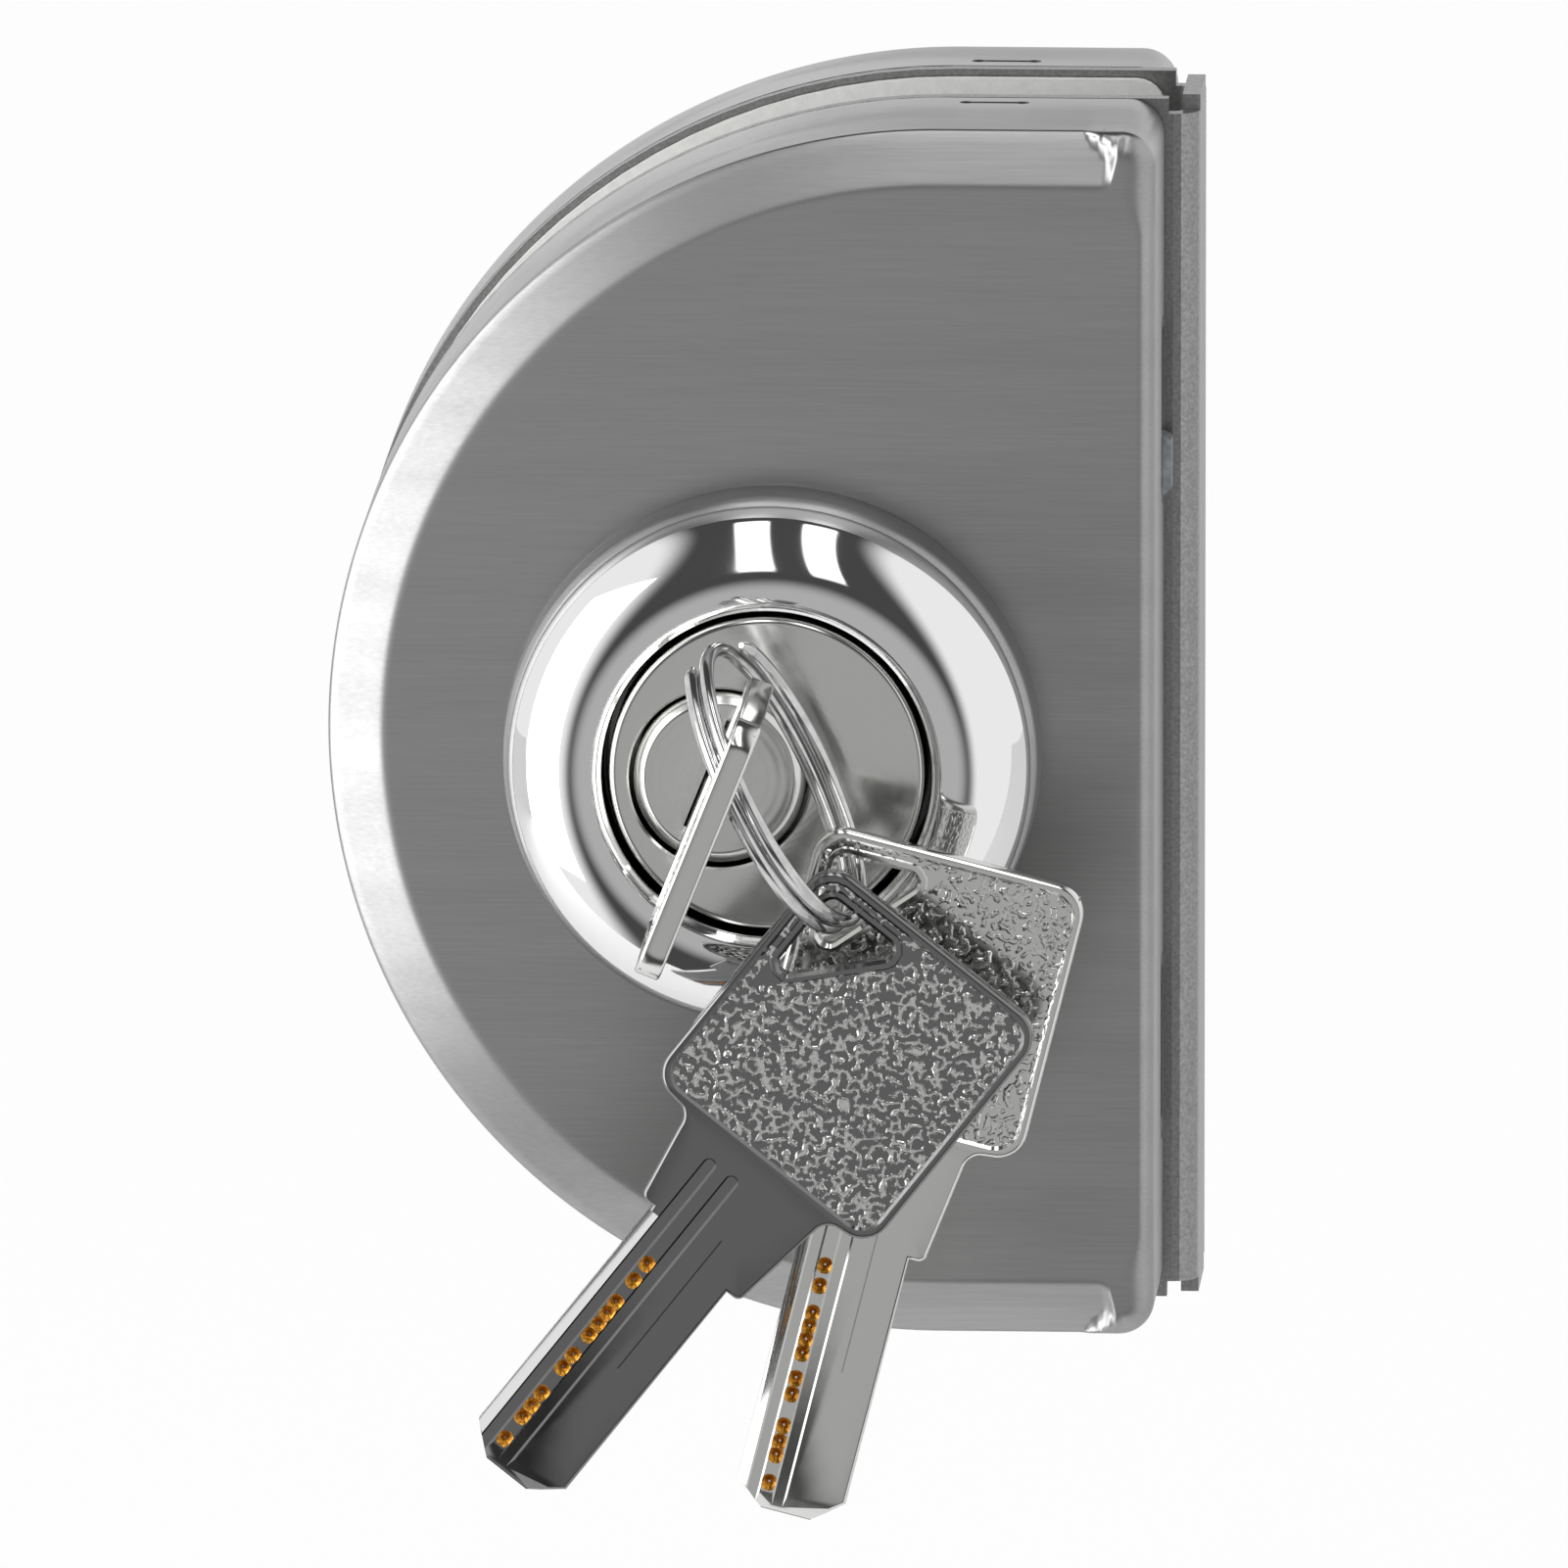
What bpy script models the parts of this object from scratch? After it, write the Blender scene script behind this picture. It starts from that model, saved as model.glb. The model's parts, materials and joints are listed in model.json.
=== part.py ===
"""Half-round patch lock for a frameless sliding glass door, with its keys.

Run with:  blender --background --python part.py
The lock clamps over the door's edge. X points to the door's edge, Y into the
door, Z up. The origin is on the glass, on the centre line of the round covers.
"""
import math

import bmesh
import bpy
from mathutils import Matrix, Vector

MM = 0.001
SEAT = 0.3 * MM                     # gap between pieces that seat on each other

# Door and clamp
GLASS = 10.0 * MM                   # thickness of the glass door
GASKET = 1.2 * MM                   # rubber pads on both sides of the glass
GASKET_INSET = 0.6 * MM             # pads stay back from the plates' edge
SHEET = 1.5 * MM                    # stainless sheet of covers and clamp frame
BEND_REACH = 2.9 * MM               # how far the folded edge stands past the covers
BEND_RADIUS = 2.2 * MM              # outside radius of the folded edge
RELIEF = 1.3 * MM                   # notch at each end of the two folds

# Covers
COVER_RADIUS = 51.6 * MM            # round side of the covers
COVER_REACH = 18.4 * MM             # from the round side's centre to the straight side
CORNER = 3.0 * MM                   # corners of the straight side
FRONT_WALL = 16.5 * MM              # height of the front cover's side wall
BEVEL_WIDTH = 4.7 * MM
BEVEL_DEPTH = 1.6 * MM
EDGE_ROUND = 1.6 * MM               # rounding along the straight side
REAR_WALL = 9.6 * MM
REAR_ROUND = 2.3 * MM
ARC_STEPS = 48                      # flats around the half circle
CORNER_STEPS = 6

# Lanced slits and the spring clips that snap into them
SLIT_X = 4.1 * MM
SLIT_LENGTH = 5.9 * MM
SLIT_HEIGHT = 0.9 * MM
SLIT_FROM_RIM = 2.4 * MM
CLIP_SHEET = 0.7 * MM
CLIP_FOOT = 7.0 * MM
CLIP_NARROWER = 1.0 * MM
CLIP_TONGUE = 2.6 * MM              # tongue past the nib

# Rose around the cylinder
ROSE_X = -13.8 * MM
ROSE_Z = -1.4 * MM
ROSE_RADIUS = 22.75 * MM
ROSE_COLLAR = 6.2 * MM              # height of the collar above the cover
DOME_RADIUS = 22.1 * MM
LIP_PROUD = 1.3 * MM                # crest of the lip above the cylinder face
LIP_RADIUS = 14.9 * MM              # crest of the lip
DOME_STEPS = 9                      # flats across the dome's rounding
CYLINDER_RADIUS = 13.4 * MM
NUT_ACROSS = 33.0 * MM
NUT_HEIGHT = 3.0 * MM

# Plug, set off-centre in the cylinder
PLUG_X = -17.8 * MM
PLUG_Z = -1.9 * MM
PLUG_RADIUS = 7.35 * MM
PLUG_BEVEL = 0.95 * MM
PLUG_FLOOR = 1.6 * MM               # wall behind the keyway
SHIM = 0.1 * MM                     # running gap between plug and pinion
TAIL_SQUARE = 4.4 * MM
TAIL_ROUND = 1.9 * MM
KEY_LEAN = math.radians(22.0)       # key's lean from upright, top to the right

# Keys
KEY_THICK = 2.2 * MM
HEAD_WIDTH = 23.4 * MM
HEAD_LENGTH = 24.0 * MM
HEAD_CORNER = 2.6 * MM
HEAD_RIM = 1.1 * MM                 # width of the raised rim round the head
PANEL_DEPTH = 0.3 * MM              # the panel inside the rim lies this much lower
NECK_WIDTH = 13.2 * MM
NECK_LENGTH = 8.3 * MM
SHOULDER_STEP = 1.9 * MM             # the right shoulder lies further down
NECK_FILLET = 1.6 * MM
BLADE_WIDTH = 9.4 * MM
BLADE_LENGTH = 25.8 * MM
BLADE_TIP = 2.2 * MM
SHOULDER_GAP = 3.0 * MM             # key shoulder to plug face, key home
HOLE_MARGIN = 2.15 * MM              # hole to the two edges at its corner
HOLE_LONG = 9.2 * MM
HOLE_SHORT = 8.2 * MM
HOLE_CORNER = 0.8 * MM
GROOVE_WIDTH = 1.15 * MM
GROOVE_DEPTH = 0.5 * MM
GROOVE_OFFSETS = (-3.2 * MM, -0.9 * MM)
GROOVE_START = 5.2 * MM             # groove's start before the shoulder

# Split ring
WIRE = 1.25 * MM
RING_RADIUS = 12.6 * MM             # to the middle of the wire
RING_PITCH = 1.35 * MM
RING_TURNS = 1.9
RING_STEPS = 34                     # straight pieces in a turn
RING_LEAN = math.radians(27.0)      # the ring hangs to the right of upright
RING_BEGIN = math.radians(205.0)    # where the wire begins, round from the lowest point
RING_IN_KEY = math.radians(111.0)   # where the ring passes through the key in the plug
RING_SPOT = (2.8 * MM, 1.7 * MM)    # the wire in that key's hole, from the hole's corner
LOOSE_KEYS = (                      # name, place round the ring, lean, wire in its hole
    ("key_front", math.radians(12.0), math.radians(38.5), (2.1 * MM, 1.6 * MM)),
    ("key_back", math.radians(-28.0), math.radians(14.2), (1.7 * MM, 2.6 * MM)))

# Bolt work behind the cylinder
MODULE = 1.0 * MM
GEAR_TEETH = 12
TOOTH_TIP = 0.75 * MM
TOOTH_ROOT = 1.2 * MM
TOOTH_THIN = 0.22 * MM              # taken off each flank for easy running
PRESSURE = math.radians(20.0)
WORK_Y = -6.3 * MM                  # middle plane of pinion, slide and hook
SLIDE_THICK = 2.2 * MM
PINION_THICK = 2.6 * MM
HOOK_THICK = 3.0 * MM
TURN = math.radians(88.0)           # key turn from open to locked
SLOT_LENGTH = 16.2 * MM             # bolt slots in the straight wall
SLOT_WIDTH = 4.6 * MM
SLOT_FROM_END = 18.0 * MM           # upper slot's end below the cover's top
HOOK_SETBACK = 5.5 * MM             # pivot behind the wall's outer face
HOOK_DROP = 1.0 * MM                # pivot below the slot's end
HOOK_LENGTH = 14.9 * MM
HOOK_PROUD = 0.8 * MM               # beak stands this far out of the wall at rest
HOOK_BOSS = 3.7 * MM
HOOK_ARM = 3.2 * MM
SLIDE_WAIST = 4.0 * MM              # slide's width beside its teeth
BEAK_WIDTH = 6.0 * MM
PIVOT_RADIUS = 1.5 * MM
RIVET_RADIUS = 2.0 * MM
RIVET_HEAD = 3.2 * MM
RIVET_HEAD_THICK = 0.9 * MM

# Clamp screws
SCREW_RADIUS = 3.0 * MM
SOCKET_DEPTH = 2.0 * MM
BOSS_RADIUS = 5.2 * MM
BOSS_HEIGHT = 3.0 * MM
SCREW_X = (-30.0 * MM, 4.0 * MM)    # screws near the round side and near the edge
SCREW_FROM_END = (37.6 * MM, 17.6 * MM)

# Places that follow from the sizes above
FRONT_PLATE_Y = -SEAT - GASKET                       # back of the front plate
FRONT_RIM_Y = FRONT_PLATE_Y - SHEET - SEAT           # open edge of the front cover
FACE_Y = FRONT_RIM_Y - FRONT_WALL - BEVEL_DEPTH      # flat face of the front cover
REAR_PLATE_Y = GLASS + GASKET + SEAT                 # front of the rear plate
REAR_RIM_Y = REAR_PLATE_Y + SHEET + SEAT
HALF_HEIGHT = COVER_RADIUS
FRAME_X = COVER_REACH + BEND_REACH
SCREW_SPOTS = [(x, way * (HALF_HEIGHT - from_end))
               for x, from_end in zip(SCREW_X, SCREW_FROM_END) for way in (1, -1)]
PITCH_RADIUS = MODULE * GEAR_TEETH / 2
TRAVEL = PITCH_RADIUS * TURN
SLOT_END_Z = HALF_HEIGHT - SLOT_FROM_END
SLOT_SPACING = SLOT_END_Z - SLOT_LENGTH / 2 - PLUG_Z # slot middle above and below the plug
HOOK_X = COVER_REACH - HOOK_SETBACK
HOOK_Z = SLOT_END_Z - HOOK_DROP
PLUG_BACK_Y = WORK_Y - PINION_THICK / 2 - SHIM
CYLINDER_BACK_Y = PLUG_BACK_Y - PLUG_FLOOR - SEAT
KEY_TIP_Y = PLUG_BACK_Y - PLUG_FLOOR - SEAT
KEY_SHOULDER_Y = KEY_TIP_Y - BLADE_LENGTH
KEY_END_Y = KEY_SHOULDER_Y - NECK_LENGTH - HEAD_LENGTH
CYLINDER_Y = KEY_SHOULDER_Y + SHOULDER_GAP           # face of the cylinder and the plug
CREST_Y = CYLINDER_Y - LIP_PROUD


def new_material(name, colour, roughness, metallic):
    """A plain Principled material in the finish the piece has."""
    material = bpy.data.materials.new(name)
    material.use_nodes = True
    shader = material.node_tree.nodes["Principled BSDF"]
    shader.inputs["Base Color"].default_value = (*colour, 1.0)
    shader.inputs["Roughness"].default_value = roughness
    shader.inputs["Metallic"].default_value = metallic
    material.diffuse_color = (*colour, 1.0)
    return material


def link(name, mesh, material):
    """Put a finished mesh in the model's collection as one named piece."""
    piece = bpy.data.objects.new(name, mesh)
    bpy.data.collections["glass_door_lock"].objects.link(piece)
    if material:
        mesh.materials.append(material)
    mesh.shade_smooth()
    mesh.set_sharp_from_angle(angle=math.radians(32))
    return piece


def as_cutter(piece):
    """Turn a piece into a guide for a Boolean: it is not part of the lock."""
    bpy.data.collections["glass_door_lock"].objects.unlink(piece)
    bpy.data.collections["cutters"].objects.link(piece)
    piece.hide_render = True
    piece.display_type = "WIRE"
    return piece


def boolean(piece, other, operation="DIFFERENCE"):
    """Cut the other piece out of this one, or join it to this one."""
    modifier = piece.modifiers.new(other.name, "BOOLEAN")
    modifier.operation = operation
    modifier.object = as_cutter(other)
    return piece


def prism(name, outline, y_front, y_back, material=None):
    """Extrude an outline of (x, z) points from y_front to y_back."""
    bm = bmesh.new()
    face = bm.faces.new([bm.verts.new((x, y_front, z)) for x, z in outline])
    grown = bmesh.ops.extrude_face_region(bm, geom=[face])["geom"]
    moved = [item for item in grown if isinstance(item, bmesh.types.BMVert)]
    bmesh.ops.translate(bm, verts=moved, vec=(0, y_back - y_front, 0))
    bmesh.ops.recalc_face_normals(bm, faces=bm.faces)
    mesh = bpy.data.meshes.new(name)
    bm.to_mesh(mesh)
    bm.free()
    return link(name, mesh, material)


def turned(name, profile, centre, steps, material=None):
    """Turn a closed profile of (radius, y) points about an axis along Y."""
    mesh = bpy.data.meshes.new(name)
    bm = bmesh.new()
    loop = [bm.verts.new((radius, y, 0)) for radius, y in profile]
    edges = [bm.edges.new((a, b)) for a, b in zip(loop, loop[1:] + loop[:1])]
    bmesh.ops.spin(bm, geom=loop + edges, axis=(0, 1, 0), cent=(0, 0, 0),
                   angle=math.tau, steps=steps, use_merge=True)
    bmesh.ops.remove_doubles(bm, verts=bm.verts, dist=1e-7)
    bmesh.ops.recalc_face_normals(bm, faces=bm.faces)
    bmesh.ops.translate(bm, verts=bm.verts, vec=(centre[0], 0, centre[1]))
    bm.to_mesh(mesh)
    bm.free()
    return link(name, mesh, material)


def disc(name, centre, radius, y_front, y_back, material=None, steps=32):
    """A plain cylinder along Y."""
    bm = bmesh.new()
    place = Matrix.Translation((centre[0], (y_front + y_back) / 2, centre[1]))
    turn = Matrix.Rotation(math.pi / 2, 4, "X")
    bmesh.ops.create_cone(bm, cap_ends=True, segments=steps, radius1=radius, radius2=radius,
                          depth=abs(y_back - y_front), matrix=place @ turn)
    bmesh.ops.recalc_face_normals(bm, faces=bm.faces)
    mesh = bpy.data.meshes.new(name)
    bm.to_mesh(mesh)
    bm.free()
    return link(name, mesh, material)


def block(name, low, high, material=None):
    """A box between two corners."""
    bm = bmesh.new()
    size = [b - a for a, b in zip(low, high)]
    middle = [(a + b) / 2 for a, b in zip(low, high)]
    bmesh.ops.create_cube(bm, size=1, matrix=Matrix.Translation(middle) @ Matrix.Diagonal((*size, 1)))
    mesh = bpy.data.meshes.new(name)
    bm.to_mesh(mesh)
    bm.free()
    return link(name, mesh, material)


def arc(centre, radius, start, end, steps):
    """Points of an arc, both ends included, angles in radians from +X towards +Z."""
    angles = [start + (end - start) * i / steps for i in range(steps + 1)]
    return [(centre[0] + radius * math.cos(a), centre[1] + radius * math.sin(a)) for a in angles]


def rounded(corners, radius, steps=4):
    """Round the corners of a convex or concave outline of (x, z) points."""
    points = []
    for i, corner in enumerate(corners):
        here = Vector(corner)
        back = (Vector(corners[i - 1]) - here).normalized()
        ahead = (Vector(corners[(i + 1) % len(corners)]) - here).normalized()
        half = math.acos(max(-1.0, min(1.0, back.dot(ahead)))) / 2
        start = here + back * (radius / math.tan(half))
        end = here + ahead * (radius / math.tan(half))
        middle = here + (back + ahead).normalized() * (radius / math.sin(half))
        for step in range(steps + 1):
            blend = (start - middle).lerp(end - middle, step / steps).normalized()
            points.append(tuple(middle + blend * radius))
    return points


def half_round(inset=0.0, reach=COVER_REACH, corner=CORNER):
    """The half-round outline: bottom corner, straight side, top corner, round side."""
    radius = COVER_RADIUS - inset
    side = reach - inset
    corner = max(corner - inset, 0.5 * MM)
    points = arc((side - corner, corner - radius), corner, -math.pi / 2, 0, CORNER_STEPS)
    points += arc((side - corner, radius - corner), corner, 0, math.pi / 2, CORNER_STEPS)
    points += arc((0, 0), radius, math.pi / 2, 3 * math.pi / 2, ARC_STEPS)
    return points


def cover_outline():
    """Outline points of a cover with, for each, how much it belongs to the straight side."""
    middle = Vector((COVER_REACH - CORNER, HALF_HEIGHT - CORNER))
    points = []
    for z in (0.0, 0.4, 0.7, 0.8, 0.88):
        points.append((Vector((COVER_REACH, z * middle.y)), Vector((-1, 0)), 1.0))
    for point in arc(middle, CORNER, 0, math.pi / 2, CORNER_STEPS):
        inward = (middle - Vector(point)).normalized()
        points.append((Vector(point), inward, 1.0))
    bevel_end = COVER_REACH - CORNER - 0.7 * MM
    for x in (bevel_end, bevel_end * 0.66, bevel_end * 0.33):
        points.append((Vector((x, HALF_HEIGHT)), Vector((0, -1)), 0.0))
    for point in arc((0, 0), COVER_RADIUS, math.pi / 2, math.pi, ARC_STEPS // 2):
        points.append((Vector(point), -Vector(point).normalized(), 0.0))
    lower = [(Vector((p.x, -p.y)), Vector((n.x, -n.y)), w) for p, n, w in points[1:-1]]
    return points + lower[::-1]


def pressed_cover(name, rim_y, wall, depth, way, side_round, bevel, material):
    """A pressed sheet cover: side wall, edge, then a bevel or a rounding to a flat face.

    way is -1 for a cover that faces the viewer and 1 for one that faces away.
    """
    edge = 0.35 * MM
    bm = bmesh.new()
    rings = []
    outline = cover_outline()
    spans = [(0.0, 0.0), (0.0, wall - edge)]
    for inset, height in spans:
        rings.append([(p + n * inset, height) for p, n, _ in outline])
    for share in (0.0, 0.12, 0.34, 0.66, 1.0):
        ring = []
        for point, inward, straight in outline:
            corner = max(0.0, 1 - (HALF_HEIGHT - abs(point.y) - CORNER) / (6 * MM))
            widest = min(side_round * (1 + 0.9 * min(corner, 1.0)), max(0.9 * CORNER, side_round))
            width = bevel + (widest - bevel) * straight
            slope = share
            bulge = math.sqrt(max(0.0, 1 - (1 - share) ** 2))
            rise = slope + (bulge - slope) * (straight if bevel > side_round else 1.0)
            start = edge * 0.6 * (1 - straight)
            ring.append((point + inward * (start + (width - start) * share), wall + depth * rise))
        rings.append(ring)
    verts = [[bm.verts.new((p.x, rim_y + way * height, p.y)) for p, height in ring] for ring in rings]
    count = len(outline)
    for low, high in zip(verts, verts[1:]):
        for i in range(count):
            bm.faces.new((low[i], low[(i + 1) % count], high[(i + 1) % count], high[i]))
    bm.faces.new(verts[-1])
    bmesh.ops.recalc_face_normals(bm, faces=bm.faces)
    if sum(face.normal.y * way for face in bm.faces) < 0:
        bmesh.ops.reverse_faces(bm, faces=bm.faces)
    mesh = bpy.data.meshes.new(name)
    bm.to_mesh(mesh)
    bm.free()
    cover = link(name, mesh, material)
    shell = cover.modifiers.new("sheet", "SOLIDIFY")
    shell.thickness = SHEET
    shell.offset = -1
    shell.use_even_offset = True
    return cover


def slit_cutter(name, side, y):
    """A lanced slit through the top wall (side 1) or the bottom wall (side -1)."""
    low = (SLIT_X - SLIT_LENGTH / 2, y - SLIT_HEIGHT / 2, side * HALF_HEIGHT - 2 * SHEET)
    high = (SLIT_X + SLIT_LENGTH / 2, y + SLIT_HEIGHT / 2, side * HALF_HEIGHT + 2 * SHEET)
    return block(name, low, high)


def add_covers(steel):
    """The two pressed covers with their slits, bolt slots and cylinder hole."""
    front = pressed_cover("front_cover", FRONT_RIM_Y, FRONT_WALL, BEVEL_DEPTH, -1, EDGE_ROUND,
                          BEVEL_WIDTH, steel)
    rear = pressed_cover("rear_cover", REAR_RIM_Y, REAR_WALL, REAR_ROUND, 1, REAR_ROUND,
                         REAR_ROUND, steel)
    hole = CYLINDER_RADIUS + SEAT
    boolean(front, disc("cylinder_hole", (ROSE_X, ROSE_Z), hole, FACE_Y - SHEET,
                        FACE_Y + 3 * SHEET, steps=64))
    for side in (1, -1):
        boolean(front, slit_cutter(f"front_slit_{side + 1}", side, FRONT_RIM_Y - SLIT_FROM_RIM))
        boolean(rear, slit_cutter(f"rear_slit_{side + 1}", side, REAR_RIM_Y + SLIT_FROM_RIM))
        middle = PLUG_Z + side * SLOT_SPACING
        low = (COVER_REACH - 2 * SHEET, WORK_Y - SLOT_WIDTH / 2, middle - SLOT_LENGTH / 2)
        high = (COVER_REACH + 2 * SHEET, WORK_Y + SLOT_WIDTH / 2, middle + SLOT_LENGTH / 2)
        boolean(front, block(f"bolt_slot_{side + 1}", low, high))


def add_clamp_frame(steel):
    """One folded sheet: front plate, edge strip and rear plate, with the nuts for the screws."""
    outer = FRONT_PLATE_Y - SHEET
    rear_outer = REAR_PLATE_Y + SHEET
    inner = BEND_RADIUS - SHEET
    left = -COVER_RADIUS - SHEET
    steps = 5
    path = [(left, outer)]
    path += arc((FRAME_X - BEND_RADIUS, outer + BEND_RADIUS), BEND_RADIUS, -math.pi / 2, 0, steps)
    path += arc((FRAME_X - BEND_RADIUS, rear_outer - BEND_RADIUS), BEND_RADIUS, 0, math.pi / 2, steps)
    path += [(left, rear_outer), (left, REAR_PLATE_Y)]
    path += arc((FRAME_X - BEND_RADIUS, REAR_PLATE_Y - inner), inner, math.pi / 2, 0, steps)
    path += arc((FRAME_X - BEND_RADIUS, FRONT_PLATE_Y + inner), inner, 0, -math.pi / 2, steps)
    path += [(left, FRONT_PLATE_Y)]
    bm = bmesh.new()
    face = bm.faces.new([bm.verts.new((x, y, -HALF_HEIGHT)) for x, y in path])
    grown = bmesh.ops.extrude_face_region(bm, geom=[face])["geom"]
    moved = [item for item in grown if isinstance(item, bmesh.types.BMVert)]
    bmesh.ops.translate(bm, verts=moved, vec=(0, 0, 2 * HALF_HEIGHT))
    bmesh.ops.recalc_face_normals(bm, faces=bm.faces)
    mesh = bpy.data.meshes.new("clamp_frame")
    bm.to_mesh(mesh)
    bm.free()
    frame = link("clamp_frame", mesh, steel)
    margin = COVER_REACH - SEAT
    trim = prism("frame_trim", half_round(reach=FRAME_X + margin, corner=CORNER), outer - margin,
                 rear_outer + margin)
    boolean(frame, trim, "INTERSECT")
    for side in (1, -1):
        for y, name in ((outer + BEND_RADIUS / 2, "front"), (rear_outer - BEND_RADIUS / 2, "rear")):
            low = (COVER_REACH + SEAT, y - BEND_RADIUS, side * HALF_HEIGHT - RELIEF)
            high = (FRAME_X + margin, y + BEND_RADIUS * 0.6, side * HALF_HEIGHT + RELIEF)
            boolean(frame, block(f"relief_{name}_{side + 1}", low, high))
    for number, spot in enumerate(SCREW_SPOTS, 1):
        boolean(frame, disc(f"weld_nut_{number}", spot, BOSS_RADIUS, REAR_PLATE_Y + SHEET / 2,
                            rear_outer + BOSS_HEIGHT, steps=6), "UNION")
        boolean(frame, disc(f"screw_hole_{number}", spot, SCREW_RADIUS + SEAT, REAR_PLATE_Y - SHEET,
                            rear_outer + BOSS_HEIGHT + SHEET, steps=24))


def add_clamp_screws(zinc):
    """Set screws that press the rear pad against the glass."""
    for number, spot in enumerate(SCREW_SPOTS, 1):
        back = REAR_PLATE_Y + SHEET + BOSS_HEIGHT
        screw = disc(f"clamp_screw_{number}", spot, SCREW_RADIUS, REAR_PLATE_Y, back, zinc, steps=24)
        boolean(screw, disc(f"screw_socket_{number}", spot, SCREW_RADIUS * 0.52,
                            back - SOCKET_DEPTH, back + SHEET, steps=6))


def add_gaskets(rubber):
    """The two rubber pads on the glass."""
    outline = half_round(inset=GASKET_INSET)
    prism("front_gasket", outline, -GASKET, 0, rubber)
    prism("rear_gasket", outline, GLASS, GLASS + GASKET, rubber)


def add_clips(spring_steel):
    """Spring clips that stand on the plates and snap into the covers' slits."""
    for cover, plate_y, way in (("front", FRONT_PLATE_Y - SHEET, -1), ("rear", REAR_PLATE_Y + SHEET, 1)):
        for side, place in ((1, "top"), (-1, "bottom")):
            wall = HALF_HEIGHT - SHEET - SEAT
            foot = plate_y + way * SEAT
            nib = plate_y + way * (SEAT + SLIT_FROM_RIM)
            reach = SLIT_HEIGHT / 2 - SEAT * 0.5
            top = nib + way * CLIP_TONGUE
            t = CLIP_SHEET
            path = [(foot, wall - CLIP_FOOT), (foot, wall), (nib - way * reach, wall),
                    (nib - way * reach, wall + SHEET * 0.7), (nib + way * reach, wall + SHEET * 0.7),
                    (nib + way * reach, wall), (top, wall - t), (top, wall - 2 * t),
                    (nib + way * reach, wall - t), (foot + way * t, wall - t),
                    (foot + way * t, wall - CLIP_FOOT)]
            width = SLIT_LENGTH - CLIP_NARROWER
            bm = bmesh.new()
            verts = [bm.verts.new((SLIT_X - width / 2, y, side * z)) for y, z in path]
            grown = bmesh.ops.extrude_face_region(bm, geom=[bm.faces.new(verts)])["geom"]
            moved = [item for item in grown if isinstance(item, bmesh.types.BMVert)]
            bmesh.ops.translate(bm, verts=moved, vec=(width, 0, 0))
            bmesh.ops.recalc_face_normals(bm, faces=bm.faces)
            mesh = bpy.data.meshes.new(f"{cover}_clip_{place}")
            bm.to_mesh(mesh)
            bm.free()
            link(f"{cover}_clip_{place}", mesh, spring_steel)


def add_rose(steel, chrome):
    """The satin collar and the chrome dome over it."""
    bore = CYLINDER_RADIUS + 0.5 * MM
    seat = FACE_Y - SEAT
    top = FACE_Y - ROSE_COLLAR
    collar = [(bore, seat), (ROSE_RADIUS - 0.3 * MM, seat), (ROSE_RADIUS, seat - 0.3 * MM),
              (ROSE_RADIUS - 0.2 * MM, top + 1.4 * MM), (ROSE_RADIUS - 0.5 * MM, top + 0.4 * MM),
              (ROSE_RADIUS - 1.1 * MM, top), (bore, top)]
    turned("rose_collar", collar, (ROSE_X, ROSE_Z), 64, steel)
    seat = top - SEAT
    crest = CREST_Y
    rise = seat - 0.5 * MM - crest
    width = DOME_RADIUS - LIP_RADIUS
    dome = [(bore, seat), (DOME_RADIUS - 0.5 * MM, seat), (DOME_RADIUS, seat - 0.5 * MM)]
    for step in range(1, DOME_STEPS + 1):
        angle = math.pi / 2 * step / DOME_STEPS
        dome.append((LIP_RADIUS + width * math.cos(angle), seat - 0.5 * MM - rise * math.sin(angle)))
    dome += [(LIP_RADIUS - 0.45 * MM, crest + 0.12 * MM), (bore + 0.1 * MM, crest + 0.55 * MM),
             (bore, crest + 1.0 * MM)]
    turned("rose_dome", dome, (ROSE_X, ROSE_Z), 64, chrome)


def add_cylinder(brass_chrome, steel):
    """The round cylinder with its off-centre bore, and the nut that holds it."""
    radius = CYLINDER_RADIUS
    profile = [(0, CYLINDER_BACK_Y), (radius, CYLINDER_BACK_Y), (radius, CYLINDER_Y + 0.5 * MM),
               (radius - 0.5 * MM, CYLINDER_Y), (0, CYLINDER_Y)]
    body = turned("cylinder_body", profile, (ROSE_X, ROSE_Z), 64, brass_chrome)
    bore = PLUG_RADIUS + SEAT
    boolean(body, disc("plug_bore", (PLUG_X, PLUG_Z), bore, CYLINDER_Y - SHEET,
                       CYLINDER_BACK_Y + SHEET, steps=48))
    back = FACE_Y + SHEET + SEAT
    nut = disc("cylinder_nut", (ROSE_X, ROSE_Z), NUT_ACROSS / 2 / math.cos(math.pi / 6), back,
               back + NUT_HEIGHT, steel, steps=6)
    boolean(nut, disc("nut_bore", (ROSE_X, ROSE_Z), radius + SEAT, back - SHEET,
                      back + NUT_HEIGHT + SHEET, steps=64))


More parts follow.
